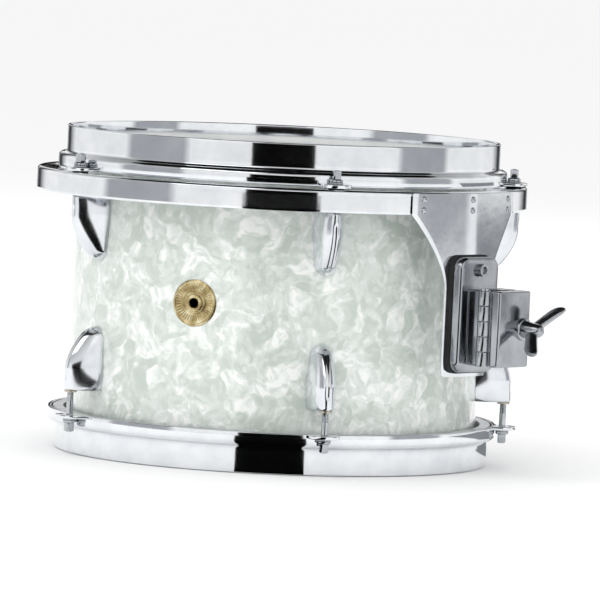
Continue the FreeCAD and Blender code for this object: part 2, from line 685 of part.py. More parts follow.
def gasket():
    half_width = BRACKET_WIDTH / 2 + GASKET_BORDER
    half_height = BRACKET_HEIGHT / 2 + GASKET_BORDER
    pad = rounded_pad(BAND_INSIDE, FLANGE_BACK, half_width, half_height,
                      BRACKET_CORNER + GASKET_BORDER)
    drum = cylinder(GASKET_INSIDE, TOTAL_HEIGHT, ORIGIN)
    return pad.cut(drum).cut(bracket_screw_holes())


def rod_space():
    """Space of the stand's upright rod."""
    return cylinder(L_ROD_BORE, TOTAL_HEIGHT, vec(L_ROD_AXIS_X, 0, 0))


def screw_space(clearance):
    """Threaded hole of the wing screw in the base."""
    start = L_ROD_AXIS_X - WING_SCREW_BITE - WING_SCREW_END_GAP
    length = JAW_FRONT + JAW_WALL - start
    radius = WING_SCREW_DIAMETER / 2 + clearance
    return cylinder(radius, length, vec(start, WING_SCREW_SIDE, CLAMP_MIDDLE), OUT)


def screw_slot():
    """Slot in the jaw, long enough for the screw while the jaw swings open."""
    radius = WING_SCREW_DIAMETER / 2 + JAW_SCREW_CLEARANCE
    start = L_ROD_AXIS_X
    length = JAW_FRONT - start + 1
    slide = (JAW_FRONT - L_ROD_AXIS_X) * math.sin(math.radians(JAW_SWING))
    near = cylinder(radius, length, vec(start, WING_SCREW_SIDE, CLAMP_MIDDLE), OUT)
    far = cylinder(radius, length, vec(start, WING_SCREW_SIDE + slide, CLAMP_MIDDLE), OUT)
    between = box(start, start + length, WING_SCREW_SIDE, WING_SCREW_SIDE + slide,
                  CLAMP_MIDDLE - radius, CLAMP_MIDDLE + radius)
    return near.fuse([far, between]).removeSplitter()


def knuckles(radius, first, gap):
    """Hinge barrels of one leaf: every second one of a row, from number first."""
    pitch = CLAMP_HEIGHT / KNUCKLE_COUNT
    low = CLAMP_MIDDLE - CLAMP_HEIGHT / 2
    barrels = []
    for number in range(first, KNUCKLE_COUNT, 2):
        base = vec(L_ROD_AXIS_X, HINGE_Y, low + number * pitch - gap / 2)
        barrels.append(cylinder(radius, pitch + gap, base))
    return Part.makeCompound(barrels)


def clamp_leaf(x0, x1, first):
    """Half of the clamp with its own hinge barrels and room for the other's."""
    half = CLAMP_HEIGHT / 2
    low = CLAMP_MIDDLE - half
    leaf = box(x0, x1, HINGE_Y, CLAMP_FAR_SIDE, low, low + CLAMP_HEIGHT)
    leaf = leaf.fuse(knuckles(KNUCKLE_RADIUS, first, -KNUCKLE_GAP).Solids).removeSplitter()
    leaf = leaf.cut(knuckles(KNUCKLE_RADIUS + KNUCKLE_GAP, 1 - first, KNUCKLE_GAP))
    pin_base = vec(L_ROD_AXIS_X, HINGE_Y, 0)
    return leaf.cut(cylinder(HINGE_PIN_RADIUS + THREAD_CLEARANCE, TOTAL_HEIGHT, pin_base))


def bracket_base():
    flange = rounded_pad(FLANGE_BACK, FLANGE_FRONT, BRACKET_WIDTH / 2,
                         BRACKET_HEIGHT / 2, BRACKET_CORNER)
    front = [e for e in flange.Edges if e.BoundBox.XMin > FLANGE_FRONT - 0.01]
    flange = flange.makeFillet(BRACKET_FLANGE * BRACKET_EDGE_SHARE, front)
    leaf = clamp_leaf(FLANGE_FRONT - 1, L_ROD_AXIS_X - CLAMP_HALF_GAP, 0)
    body = flange.fuse(leaf).removeSplitter()
    top = CLAMP_MIDDLE + CLAMP_HEIGHT / 2
    key = box(L_ROD_AXIS_X - L_ROD_BORE - KEY_SLOT_DEPTH, L_ROD_AXIS_X,
              -KEY_SLOT_WIDTH / 2, KEY_SLOT_WIDTH / 2, top - KEY_SLOT_HEIGHT, top + 1)
    body = body.cut(rod_space()).cut(key).cut(head_pockets())
    return body.cut(screw_space(THREAD_CLEARANCE)).cut(bracket_screw_holes())


def clamp_jaw():
    jaw = clamp_leaf(L_ROD_AXIS_X + CLAMP_HALF_GAP, JAW_FRONT, 1)
    front = [e for e in jaw.Edges if e.BoundBox.XMin > JAW_FRONT - 0.01
             and e.BoundBox.YMin > HINGE_Y + 0.1]
    jaw = jaw.makeFillet(JAW_WALL * JAW_EDGE_SHARE, front)
    return jaw.cut(rod_space()).cut(screw_slot())


def hinge_pin():
    half = CLAMP_HEIGHT / 2
    foot = vec(L_ROD_AXIS_X, HINGE_Y, CLAMP_MIDDLE - half)
    top = vec(L_ROD_AXIS_X, HINGE_Y, CLAMP_MIDDLE + half)
    pin = cylinder(HINGE_PIN_RADIUS, CLAMP_HEIGHT, foot)
    head = cylinder(HINGE_PIN_HEAD, HINGE_PIN_HEAD_HEIGHT, top)
    return pin.fuse(head).removeSplitter()


def wing_washer():
    radius = WING_SCREW_DIAMETER / 2 + THREAD_CLEARANCE
    base = vec(JAW_FRONT, WING_SCREW_SIDE, CLAMP_MIDDLE)
    disc = cylinder(WASHER_CUP_RADIUS, WASHER_CUP_THICKNESS, base, OUT)
    rim = [e for e in disc.Edges if e.BoundBox.XMin > JAW_FRONT + WASHER_CUP_THICKNESS - 0.01]
    disc = disc.makeFillet(WASHER_CUP_THICKNESS * WASHER_CUP_EDGE_SHARE, rim)
    return disc.cut(cylinder(radius, WASHER_CUP_THICKNESS, base, OUT))


def wing_screw():
    """Hub and two swept wings on a threaded shank."""
    seat = JAW_FRONT + WASHER_CUP_THICKNESS
    foot = L_ROD_AXIS_X - WING_SCREW_BITE
    centre = vec(foot, WING_SCREW_SIDE, CLAMP_MIDDLE)
    shank = cylinder(WING_SCREW_DIAMETER / 2, seat - foot, centre, OUT)
    hub_base = vec(seat, WING_SCREW_SIDE, CLAMP_MIDDLE)
    hub = Part.makeCone(WING_HUB_RADIUS, WING_HUB_RADIUS * WING_HUB_TAPER, WING_HUB_LENGTH,
                        hub_base, OUT)
    reach = WING_SPAN / 2
    near = seat + WING_ROOT_INSET
    far = seat + WING_HUB_LENGTH
    tip_x = far - WING_TIP_RADIUS + WING_SWEEP
    tip_z = CLAMP_MIDDLE + reach - WING_TIP_RADIUS
    y = WING_SCREW_SIDE - WING_THICKNESS / 2
    wing = outline([
        vec(near, y, CLAMP_MIDDLE),
        vec(near, y, CLAMP_MIDDLE + WING_HUB_RADIUS * WING_ROOT_SHARE),
        vec(tip_x - WING_TIP_RADIUS, y, tip_z),
        (vec(tip_x, y, CLAMP_MIDDLE + reach), vec(tip_x + WING_TIP_RADIUS, y, tip_z)),
        vec(far, y, CLAMP_MIDDLE + WING_HUB_RADIUS * WING_CREST_SHARE),
        vec(far, y, CLAMP_MIDDLE),
    ])
    upper = Part.Face(wing).extrude(vec(0, WING_THICKNESS, 0))
    lower = upper.mirror(vec(0, 0, CLAMP_MIDDLE), UP)
    wings = upper.fuse(lower).removeSplitter()
    wings.rotate(vec(0, WING_SCREW_SIDE, CLAMP_MIDDLE), OUT, WING_TILT)
    return shank.fuse([hub, wings]).removeSplitter()


def bracket_screw(z):
    nut_face = PLATE_INSIDE * math.cos(math.asin(BRACKET_NUT_RADIUS / PLATE_INSIDE))
    foot = nut_face - BRACKET_NUT_HEIGHT - BRACKET_SCREW_PAST_NUT
    shank = cylinder(BRACKET_SCREW_DIAMETER / 2, FLANGE_FRONT - foot, vec(foot, 0, z), OUT)
    head = cylinder(BRACKET_SCREW_HEAD_RADIUS, BRACKET_SCREW_HEAD_HEIGHT,
                    vec(FLANGE_FRONT, 0, z), OUT)
    socket_base = vec(FLANGE_FRONT + BRACKET_SCREW_HEAD_HEIGHT / 2, 0, z)
    socket = cylinder(HEX_SOCKET, BRACKET_SCREW_HEAD_HEIGHT, socket_base, OUT)
    return shank.fuse(head).removeSplitter().cut(socket)


def bracket_nut(z):
    """Hexagon nut behind the plate."""
    face_x = PLATE_INSIDE * math.cos(math.asin(BRACKET_NUT_RADIUS / PLATE_INSIDE))
    start = face_x - BRACKET_NUT_HEIGHT
    corners = []
    for i in range(6):
        turn = math.radians(60 * i)
        corners.append(vec(start, BRACKET_NUT_RADIUS * math.cos(turn),
                           z + BRACKET_NUT_RADIUS * math.sin(turn)))
    nut = Part.Face(outline(corners)).extrude(vec(BRACKET_NUT_HEIGHT, 0, 0))
    radius = BRACKET_SCREW_DIAMETER / 2 + THREAD_CLEARANCE
    return nut.cut(cylinder(radius, BRACKET_NUT_HEIGHT, vec(start, 0, z), OUT))


# ---- Write every node ----

os.makedirs("parts", exist_ok=True)

save("shell", shell())
save("pearl_wrap", pearl_wrap())

one_casing = casing()
one_rod = tension_rod()
one_washer = rod_washer()
one_nut = swivel_nut()
film = head_film()
flesh = flesh_hoop()
counterhoop = hoop()

save("batter_film", film)
save("batter_flesh_hoop", flesh)
save("batter_hoop", counterhoop)
save("resonant_film", low_side(film))
save("resonant_flesh_hoop", low_side(flesh))
save("resonant_hoop", low_side(counterhoop))

for number, angle in enumerate(ROD_ANGLES, start=1):
    save("batter_lug_%d" % number, around(one_casing, angle))
    save("resonant_lug_%d" % number, around(low_side(one_casing), angle))
    save("batter_rod_%d" % number, around(one_rod, angle))
    save("resonant_rod_%d" % number, around(low_side(one_rod), angle))

save("batter_swivel_nuts", ring_of(one_nut))
save("resonant_swivel_nuts", ring_of(low_side(one_nut)))
save("batter_rod_washers", ring_of(one_washer))
save("resonant_rod_washers", ring_of(low_side(one_washer)))

screws = []
washers = []
for height in screw_heights():
    screws.extend(ring_of(lug_screw(height)) + ring_of(low_side(lug_screw(height))))
    washers.extend(ring_of(lug_washer(height)) + ring_of(low_side(lug_washer(height))))
save("lug_screws", screws)
save("lug_screw_washers", washers)

save("badge", badge())
save("vent_grommet", vent_grommet())
save("suspension_band", suspension_band())
save("band_grommets", ring_of(grommet()))
save("mount_plate", mount_plate())
save("plate_rivets", rivets())
save("bracket_gasket", gasket())
save("bracket_base", bracket_base())
save("bracket_screws", [bracket_screw(z) for z in bracket_screw_heights()])
save("bracket_nuts", [bracket_nut(z) for z in bracket_screw_heights()])
save("clamp_jaw", clamp_jaw())
save("hinge_pin", hinge_pin())
save("wing_washer", wing_washer())
save("wing_screw", wing_screw())
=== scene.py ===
import math
import bmesh
import bpy
import numpy as np
from mathutils import Matrix, Vector


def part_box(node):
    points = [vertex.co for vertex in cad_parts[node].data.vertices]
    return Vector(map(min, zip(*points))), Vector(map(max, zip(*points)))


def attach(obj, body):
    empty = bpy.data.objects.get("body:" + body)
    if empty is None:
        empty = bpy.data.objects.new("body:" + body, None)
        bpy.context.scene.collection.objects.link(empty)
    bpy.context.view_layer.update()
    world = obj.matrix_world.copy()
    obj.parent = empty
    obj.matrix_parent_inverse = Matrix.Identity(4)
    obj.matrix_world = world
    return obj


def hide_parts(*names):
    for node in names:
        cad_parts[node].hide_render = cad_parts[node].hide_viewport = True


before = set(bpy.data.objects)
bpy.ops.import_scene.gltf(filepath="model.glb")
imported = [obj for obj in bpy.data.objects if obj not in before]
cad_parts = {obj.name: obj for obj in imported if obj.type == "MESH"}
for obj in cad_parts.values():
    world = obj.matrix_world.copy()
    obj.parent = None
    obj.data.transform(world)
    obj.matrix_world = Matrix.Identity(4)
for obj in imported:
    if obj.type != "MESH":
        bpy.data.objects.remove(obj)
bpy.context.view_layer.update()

# ---- Maple shell ------------------------------------------------------------
# Six-ply maple tube, cut with bearing edges and clear sealed inside; it shows
# through the lower head and the vent.

MM = 0.001
GRAIN_MM = 4.2


def linear(code):
    """sRGB hex code to linear RGBA: v/12.92 under 0.04045, else ((v+0.055)/1.055)^2.4."""
    parts = np.array([int(code[i:i + 2], 16) for i in (1, 3, 5)]) / 255
    low = parts / 12.92
    high = ((parts + 0.055) / 1.055) ** 2.4
    return (*np.where(parts < 0.04045, low, high), 1.0)


def node(tree, kind, links=None, **settings):
    """Adds a shader node, sets its properties or sockets by name, and links its inputs."""
    made = tree.nodes.new(kind)
    for key, value in settings.items():
        name = key.replace("_", " ")
        sockets = [s for s in made.inputs if s.name.lower() == name.lower() and s.enabled]
        if sockets and not hasattr(made, key):
            sockets[0].default_value = value
        elif hasattr(made, key):
            setattr(made, key, value)
        else:
            raise KeyError(key)
    for name, source in (links or {}).items():
        socket = made.inputs[name] if isinstance(name, int) else [
            s for s in made.inputs if s.name == name and s.enabled][0]
        tree.links.new(source, socket)
    return made


def finish_of(name, **constants):
    """A new material with its Principled shader; constants go on the shader's sockets."""
    made = bpy.data.materials.new(name)
    made.use_nodes = True
    shader = made.node_tree.nodes["Principled BSDF"]
    for key, value in constants.items():
        shader.inputs[key.replace("_", " ")].default_value = value
    return made, made.node_tree, shader


def ramp(tree, source, stops):
    """Colour ramp through (position, hex code) stops."""
    made = node(tree, "ShaderNodeValToRGB", {"Fac": source})
    elements = made.color_ramp.elements
    while len(elements) < len(stops):
        elements.new(0.5)
    for element, (place, code) in zip(elements, stops):
        element.position = place
        element.color = linear(code)
    return made.outputs["Color"]


def spread(tree, source, low, high):
    """Maps 0..1 onto low..high."""
    made = node(tree, "ShaderNodeMapRange", {"Value": source})
    made.inputs["To Min"].default_value = low
    made.inputs["To Max"].default_value = high
    return made.outputs["Result"]


def raised(tree, shader, height, depth):
    """Bump of a real depth in metres on the shader's normal."""
    made = node(tree, "ShaderNodeBump", {"Height": height}, Strength=1.0, Distance=depth)
    tree.links.new(made.outputs["Normal"], shader.inputs["Normal"])


def noise(tree, place, size_mm, detail, **settings):
    """Noise with features of a size in millimetres."""
    made = node(tree, "ShaderNodeTexNoise", {"Vector": place}, Scale=1000 / size_mm, Detail=detail,
                **settings)
    return made.outputs["Fac"]


def mottled(name, size_mm, detail, stops, rough=None, bump=None, stretch=None, texture=None,
            **constants):
    """A finish whose colour, and roughness if given, follow one noise of a real feature size.

    bump is (feature size in mm, depth in m); with no size it follows the same noise.
    stretch squeezes the noise along each axis, which draws it out into grain.
    """
    made, tree, shader = finish_of(name, **constants)
    place = node(tree, "ShaderNodeTexCoord").outputs["Object"]
    if stretch:
        squeezed = node(tree, "ShaderNodeMapping", {"Vector": place})
        squeezed.inputs["Scale"].default_value = stretch
        place = squeezed.outputs["Vector"]
    marks = noise(tree, place, size_mm, detail, **(texture or {}))
    tree.links.new(ramp(tree, marks, stops), shader.inputs["Base Color"])
    if rough:
        tree.links.new(spread(tree, marks, *rough), shader.inputs["Roughness"])
    if bump:
        size, depth = bump
        raised(tree, shader, noise(tree, place, size, 2.0) if size else marks, depth)
    return made


def finish_cad(name, material):
    """Gives a CAD node's object one material in every slot."""
    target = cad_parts[name]
    if not target.data.materials:
        target.data.materials.append(material)
    for own in target.material_slots:
        own.material = material


# Long grain round the shell with pale and brown bands and fine pores.
maple = mottled("sealed_maple_ply", GRAIN_MM, 6.0,
                [(0.3, "#A98254"), (0.55, "#C9A677"), (0.75, "#D8BC92")], bump=(None, 0.04 * MM),
                stretch=(0.12, 0.12, 1.0), texture={"Distortion": 0.4},
                Roughness=0.42, Coat_Weight=0.25, Coat_Roughness=0.2)
finish_cad("shell", maple)

# ---- Pearl wrap ------------------------------------------------------------
# Marine pearl celluloid sheet, 0.5 mm thick, rolled round the maple shell and
# glued with an overlapped seam at the back, between two lugs.

HOOP_LOW, HOOP_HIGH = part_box("resonant_hoop")[0][2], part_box("batter_hoop")[1][2]
MIDDLE = (HOOP_LOW + HOOP_HIGH) / 2
SHELL_RADIUS = (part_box("pearl_wrap")[1][0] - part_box("pearl_wrap")[0][0]) / 2
WRAP_LOW, WRAP_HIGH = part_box("pearl_wrap")[0][2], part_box("pearl_wrap")[1][2]
WRAP_THICKNESS = 0.5 * MM
SEAM_ANGLE = 144.0
SEAM_WIDTH = 22 * MM
SEAM_STEP = 0.12 * MM
VENT_ANGLE = -72.0
VENT_CLEARING = 9 * MM


def make_piece(name, blocks, body, material, sharp=35.0):
    """One mesh object from blocks of (points array, list of faces), outward and smooth."""
    verts = np.concatenate([points.reshape(-1, 3) for points, own in blocks])
    faces = []
    start = 0
    for points, own in blocks:
        faces.extend([[start + int(i) for i in face] for face in own])
        start += points.size // 3
    mesh = bpy.data.meshes.new(name)
    mesh.from_pydata(verts.tolist(), [], faces)
    work = bmesh.new()
    work.from_mesh(mesh)
    bmesh.ops.remove_doubles(work, verts=work.verts, dist=1e-7)
    bmesh.ops.recalc_face_normals(work, faces=work.faces)
    work.to_mesh(mesh)
    work.free()
    mesh.shade_smooth()
    mesh.set_sharp_from_angle(angle=math.radians(sharp))
    mesh.materials.append(material)
    piece = bpy.data.objects.new(name, mesh)
    bpy.context.collection.objects.link(piece)
    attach(piece, body)
    return piece


def grid_faces(rows, columns, close_rows=False, close_columns=True, keep=None):
    """Quads of a rows x columns grid, joined round where a direction is closed."""
    i = np.arange(rows if close_rows else rows - 1)[:, None]
    j = np.arange(columns if close_columns else columns - 1)[None, :]
    i2, j2 = (i + 1) % rows, (j + 1) % columns
    quads = np.stack(np.broadcast_arrays(i * columns + j, i * columns + j2,
                                         i2 * columns + j2, i2 * columns + j), axis=-1)
    quads = quads.reshape(-1, 4)
    return (quads if keep is None else quads[keep.reshape(-1)]).tolist()


def capped_faces(rows, columns):
    """Quads of a stack of closed rings with one face over each end."""
    last = (rows - 1) * columns
    return grid_faces(rows, columns) + [list(range(columns)), list(range(last, last + columns))]


def turned(points, angle):
    """Points turned about the drum's axis by degrees."""
    c, s = math.cos(math.radians(angle)), math.sin(math.radians(angle))
    x, y, z = points[..., 0], points[..., 1], points[..., 2]
    return np.stack([c * x - s * y, s * x + c * y, z], axis=-1)


def wrap_block():
    """Outer and inner skins of the sheet; its thickness grows by a step over the seam."""
    t = np.linspace(0, 2 * np.pi, 720, endpoint=False)
    away = np.abs((np.degrees(t) - SEAM_ANGLE + 180) % 360 - 180) * math.pi / 180 * SHELL_RADIUS
    lap = SEAM_STEP * np.clip((SEAM_WIDTH / 2 - away) / (0.4 * MM) + 0.5, 0, 1)
    outer = SHELL_RADIUS - SEAM_STEP + lap
    z = np.linspace(WRAP_LOW, WRAP_HIGH, 120)
    heights = np.concatenate([z, z[::-1]])
    radii = np.where(np.arange(len(heights))[:, None] < len(z), outer, SHELL_RADIUS - WRAP_THICKNESS)
    points = np.stack([radii * np.cos(t), radii * np.sin(t), heights[:, None] + 0 * t], axis=-1)
    flat = (t - math.radians(VENT_ANGLE) + math.pi) % (2 * math.pi) - math.pi
    distance = np.hypot(flat * SHELL_RADIUS, heights[:, None] - MIDDLE)
    keep = distance > VENT_CLEARING
    keep = keep & np.roll(keep, -1, 0) & np.roll(keep, -1, 1) & np.roll(keep, (-1, -1), (0, 1))
    return points, grid_faces(len(heights), len(t), close_rows=True, keep=keep)


def pearl_material():
    """Shards of pale pearl, each with its own lean and streaks, under clear gloss."""
    made, tree, shader = finish_of("marine_pearl_celluloid", Roughness=0.22, Coat_Weight=1.0,
                                   Coat_Roughness=0.03, Specular_IOR_Level=0.5, Metallic=0.0)
    shard_mm, streak_mm, fleck_mm, drift_mm = 13.0, 2.4, 5.0, 34.0
    place = node(tree, "ShaderNodeTexCoord").outputs["Object"]
    drift = node(tree, "ShaderNodeTexNoise", {"Vector": place}, Scale=1000 / drift_mm,
                 Detail=3.0)
    bent = node(tree, "ShaderNodeVectorMath", {0: drift.outputs["Color"]}, operation="MULTIPLY_ADD")
    bent.inputs[1].default_value = (drift_mm * MM,) * 3
    tree.links.new(place, bent.inputs[2])
    where = bent.outputs["Vector"]
    layers = []
    for size, streak in ((shard_mm, streak_mm), (fleck_mm, streak_mm * 0.6)):
        shard = node(tree, "ShaderNodeTexVoronoi", {"Vector": where}, feature="SMOOTH_F1",
                     Scale=1000 / size, Smoothness=0.3)
        lean = node(tree, "ShaderNodeVectorMath", {0: shard.outputs["Color"]}, operation="SUBTRACT")
        lean.inputs[1].default_value = (0.5, 0.5, 0.5)
        along = node(tree, "ShaderNodeVectorMath", {0: where, 1: lean.outputs["Vector"]},
                     operation="DOT_PRODUCT")
        wave = node(tree, "ShaderNodeMath", {0: along.outputs["Value"]}, operation="MULTIPLY")
        wave.inputs[1].default_value = 2000 * math.pi / streak / 1.6
        ripple = node(tree, "ShaderNodeMath", {0: wave.outputs["Value"]}, operation="SINE")
        tone = node(tree, "ShaderNodeSeparateColor", {"Color": shard.outputs["Color"]})
        mixed = node(tree, "ShaderNodeMath", {0: ripple.outputs["Value"],
                                              2: tone.outputs["Red"]}, operation="MULTIPLY_ADD")
        mixed.inputs[1].default_value = 0.16
        layers.append(mixed.outputs["Value"])
    both = node(tree, "ShaderNodeMix", {"A": layers[0], "B": layers[1]}, data_type="FLOAT",
                Factor=0.38)
    total = node(tree, "ShaderNodeMix", {"A": both.outputs["Result"], "B": noise(tree, place, 60.0, 4.0)},
                 data_type="FLOAT", Factor=0.3)
    colour = ramp(tree, total.outputs["Result"], [
        (0.22, "#C0CAC2"), (0.4, "#D1D9D2"), (0.58, "#DEE4DF"), (0.76, "#F7F9F6")])
    tree.links.new(colour, shader.inputs["Base Color"])
    tree.links.new(spread(tree, total.outputs["Result"], 0.32, 0.14), shader.inputs["Roughness"])
    raised(tree, shader, noise(tree, place, 9.0, 2.0), 0.03 * MM)
    return made


pearl = pearl_material()
wrap = make_piece("pearl_wrap_sheet", [wrap_block()], "drum", pearl)
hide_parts("pearl_wrap")

# ---- Badge and vent grommet ---------------------------------------------------
# Stamped and lacquered brass disc rolled to the shell, held by a brass eyelet
# that lets the drum breathe.  The stamping is a plain fluted ring.

BADGE_RADIUS = (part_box("badge")[1][2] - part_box("badge")[0][2]) / 2
BADGE_THICKNESS = 0.8 * MM
EYELET_BORE = 3.8 * MM
EYELET_FLANGE = 7.0 * MM
EYELET_DEPTH = 6 * MM
EYELET_WALL = 0.9 * MM
EYELET_LIP = 0.8 * MM
BADGE_HOLE = 4.8 * MM
BADGE_EDGE = 0.5 * MM
CURVE_GAP = 0.05 * MM
FLUTES = 40


def badge_block():
    """Polar grid: height is a rounded rim, a fluted ring and a shallow dished centre."""
    rho = np.concatenate([np.linspace(BADGE_HOLE, BADGE_RADIUS - BADGE_EDGE, 56),
                          BADGE_RADIUS - BADGE_EDGE * (1 - np.sin(np.linspace(0.2, np.pi / 2, 5)))])
    t = np.linspace(0, 2 * np.pi, 320, endpoint=False)
    r = rho[:, None] / BADGE_RADIUS
    rim = np.exp(-((r - 0.92) / 0.035) ** 4)
    bead = np.exp(-((r - 0.5) / 0.02) ** 2)
    flute_zone = np.exp(-((r - 0.7) / 0.14) ** 6)
    flutes = flute_zone * (0.5 + 0.5 * np.cos(FLUTES * t))
    height = BADGE_THICKNESS * (0.55 + 0.45 * np.maximum(rim, 0.8 * bead) + 0.28 * flutes)
    edge = np.clip((BADGE_RADIUS - rho[:, None]) / BADGE_EDGE, 0, 1)
    height = np.minimum(height, BADGE_THICKNESS) * np.sqrt(1 - (1 - edge) ** 2 * 0.9)
    y, z = rho[:, None] * np.cos(t), rho[:, None] * np.sin(t)
    x = np.sqrt(SHELL_RADIUS ** 2 - y ** 2) + CURVE_GAP + height
    front = np.stack([x, y, z + MIDDLE], axis=-1)
    back = np.stack([x - height, y, z + MIDDLE], axis=-1)[::-1]
    points = np.concatenate([front, back])
    return turned(points, VENT_ANGLE), grid_faces(len(points), len(t), close_rows=True)


def spindle(profile, centre, steps=48, closed=False):
    """A profile of (radius, distance) carried round a line along +X through centre."""
    profile = np.asarray(profile, dtype=float)
    t = np.linspace(0, 2 * np.pi, steps, endpoint=False)
    r, x = profile[:, None, 0], profile[:, None, 1]
    points = np.stack([x + centre[0] + 0 * t, centre[1] + r * np.cos(t),
                       centre[2] + r * np.sin(t)], axis=-1)
    if closed:
        return points, grid_faces(len(profile), steps, close_rows=True)
    return points, capped_faces(len(profile), steps)


def arc(centre_a, centre_b, radius, start, end, count=8):
    """Points of an arc in a two-number plane, angles in degrees."""
    t = np.radians(np.linspace(start, end, count))
    return np.stack([centre_a + radius * np.cos(t), centre_b + radius * np.sin(t)], axis=-1)


def eyelet_block():
    """Rolled outer flange and its bore; the profile is closed on itself."""
    x0 = SHELL_RADIUS + BADGE_THICKNESS + CURVE_GAP
    outer = arc(EYELET_FLANGE - EYELET_LIP, x0, EYELET_LIP, 0, 90)
    inner = arc(EYELET_BORE + EYELET_LIP, x0, EYELET_LIP, 90, 180)
    tail = [[EYELET_BORE, x0 - EYELET_DEPTH], [EYELET_BORE + EYELET_WALL, x0 - EYELET_DEPTH],
            [EYELET_BORE + EYELET_WALL, x0], [EYELET_FLANGE, x0]]
    points, faces = spindle(np.concatenate([outer, inner, tail]), (0, 0, MIDDLE), 64, closed=True)
    return turned(points, VENT_ANGLE), faces


# Warm lacquered brass, mottled darker and paler in random patches, with a faint fine bump.
brass = mottled("lacquered_brass", 7.0, 5.0, [(0.3, "#83704A"), (0.5, "#B5A272"), (0.72, "#E6DBB4")],
                (0.32, 0.14), (0.8, 0.01 * MM), Metallic=1.0, Roughness=0.2, Coat_Weight=0.3,
                Coat_Roughness=0.08)
badge = make_piece("badge_disc", [badge_block()], "drum", brass)
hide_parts("badge")
eyelet = make_piece("vent_eyelet", [eyelet_block()], "drum", brass)
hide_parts("vent_grommet")

# ---- Heads --------------------------------------------------------------------
# Polyester film set in an aluminium flesh hoop.  The upper one is sprayed with
# a rough white coat; the lower one is left clear and a little hazy.

FILM_THICKNESS = 0.3 * MM
FILM_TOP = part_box("batter_film")[1][2]
FILM_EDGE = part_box("batter_film")[0][2]
FILM_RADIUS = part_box("batter_film")[1][0]
FLESH_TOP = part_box("batter_flesh_hoop")[1][2]
CROWN_RADIUS = 162.8 * MM
FILM_BEND = 3.0 * MM


def film_profile():
    """Flat centre, a rounded bend over the bearing edge, a sloped collar, a straight tail."""
    slope = math.atan2(FILM_TOP - FLESH_TOP, FILM_RADIUS - CROWN_RADIUS)
    flat = np.stack([np.linspace(0.0, CROWN_RADIUS - FILM_BEND * math.tan(slope / 2), 40),
                     np.full(40, FILM_TOP)], axis=-1)
    start = flat[-1]
    over = arc(start[0], start[1] - FILM_BEND, FILM_BEND, 90, 90 - math.degrees(slope), 8)[1:]
    tail = np.array([[FILM_RADIUS, FLESH_TOP], [FILM_RADIUS, FILM_EDGE]])
    outer = np.concatenate([flat, over, tail])
    inner = outer.copy()
    inner[:, 1] -= FILM_THICKNESS
    inner[-2:, 0] -= FILM_THICKNESS
    inner[-1, 1] += FILM_THICKNESS
    return outer, inner


def lathe(profile, steps=256, closed=True):
    """A profile of (radius, height) rows carried round the drum's axis."""
    profile = np.asarray(profile, dtype=float)
    t = np.linspace(0, 2 * np.pi, steps, endpoint=False)
    r, z = profile[:, None, 0], profile[:, None, 1]
    points = np.stack([r * np.cos(t), r * np.sin(t), z + 0 * t], axis=-1)
    return points, grid_faces(len(profile), steps, close_rows=closed)


def film_block():
    """Outer and inner skins spun round the axis; the centre closes on one point."""
    outer, inner = film_profile()
    return lathe(np.concatenate([outer, inner[::-1]]), 256, closed=False)


def mirrored(points):
    """The same block at the lower head."""
    low = points.copy()
    low[..., 2] = 2 * MIDDLE - low[..., 2]
    return low


def coated_material():
    """Warm white sprayed coat: fine grit about 0.4 mm, drawn at 0.8 mm so that it shows."""
    made, tree, shader = finish_of("sprayed_white_coat", Roughness=0.62, Specular_IOR_Level=0.4)
    place = node(tree, "ShaderNodeTexCoord").outputs["Object"]
    grit = noise(tree, place, 0.8, 3.0)
    colour = ramp(tree, noise(tree, place, 45.0, 3.0), [(0.3, "#D6D6D2"), (0.7, "#E2E1DD")])
    tree.links.new(colour, shader.inputs["Base Color"])
    tree.links.new(spread(tree, grit, 0.55, 0.75), shader.inputs["Roughness"])
    raised(tree, shader, grit, 0.05 * MM)
    return made


coated = coated_material()
# Clear polyester, faintly hazy, and bright aluminium with drawing lines round the ring.
clear_film = mottled("clear_polyester", 30.0, 3.0, [(0.3, "#E9ECEC"), (0.7, "#F7F8F8")], (0.06, 0.14),
                     Roughness=0.09, IOR=1.3, Transmission_Weight=0.92)
aluminium = mottled("extruded_aluminium", 0.9, 4.0, [(0.3, "#B9BCC0"), (0.7, "#D6D8DA")], (0.26, 0.44),
                    stretch=(0.05, 0.05, 1.0), Metallic=1.0, Roughness=0.34)
film_points, film_faces = film_block()
for name, points, material in (("batter_film", film_points, coated),
                               ("resonant_film", mirrored(film_points), clear_film)):
    head = make_piece(name + "_sheet", [(points, film_faces)], "drum", material)
    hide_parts(name)
for name in ("batter_flesh_hoop", "resonant_flesh_hoop"):
    finish_cad(name, aluminium)

# ---- Counterhoops ----------------------------------------------------------------
# Steel strip, 3 mm thick, rolled straight-walled with one step that presses on
# the flesh hoop, with five ears welded to its skirt; copper, nickel and chrome plated.

HOOP_GAUGE = 3.0 * MM
ROD_COUNT = 5
ROD_ANGLES = [360 * (i + 0.5) / ROD_COUNT for i in range(ROD_COUNT)]
ROD_X = (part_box("batter_rod_3")[0][0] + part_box("batter_rod_3")[1][0]) / 2
ROD_CIRCLE = abs(ROD_X)
HOOP_WALL = SHELL_RADIUS + 9.7 * MM
HOOP_SKIRT = HOOP_WALL + 6.5 * MM
STEP_TOP = HOOP_HIGH - 21.5 * MM
EAR_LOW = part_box("batter_hoop")[0][2]
EAR_WIDTH = 25.0 * MM
EAR_HOLE = 3.34 * MM
EAR_REACH = 10.7 * MM
EAR_ROOT = 1.5 * MM


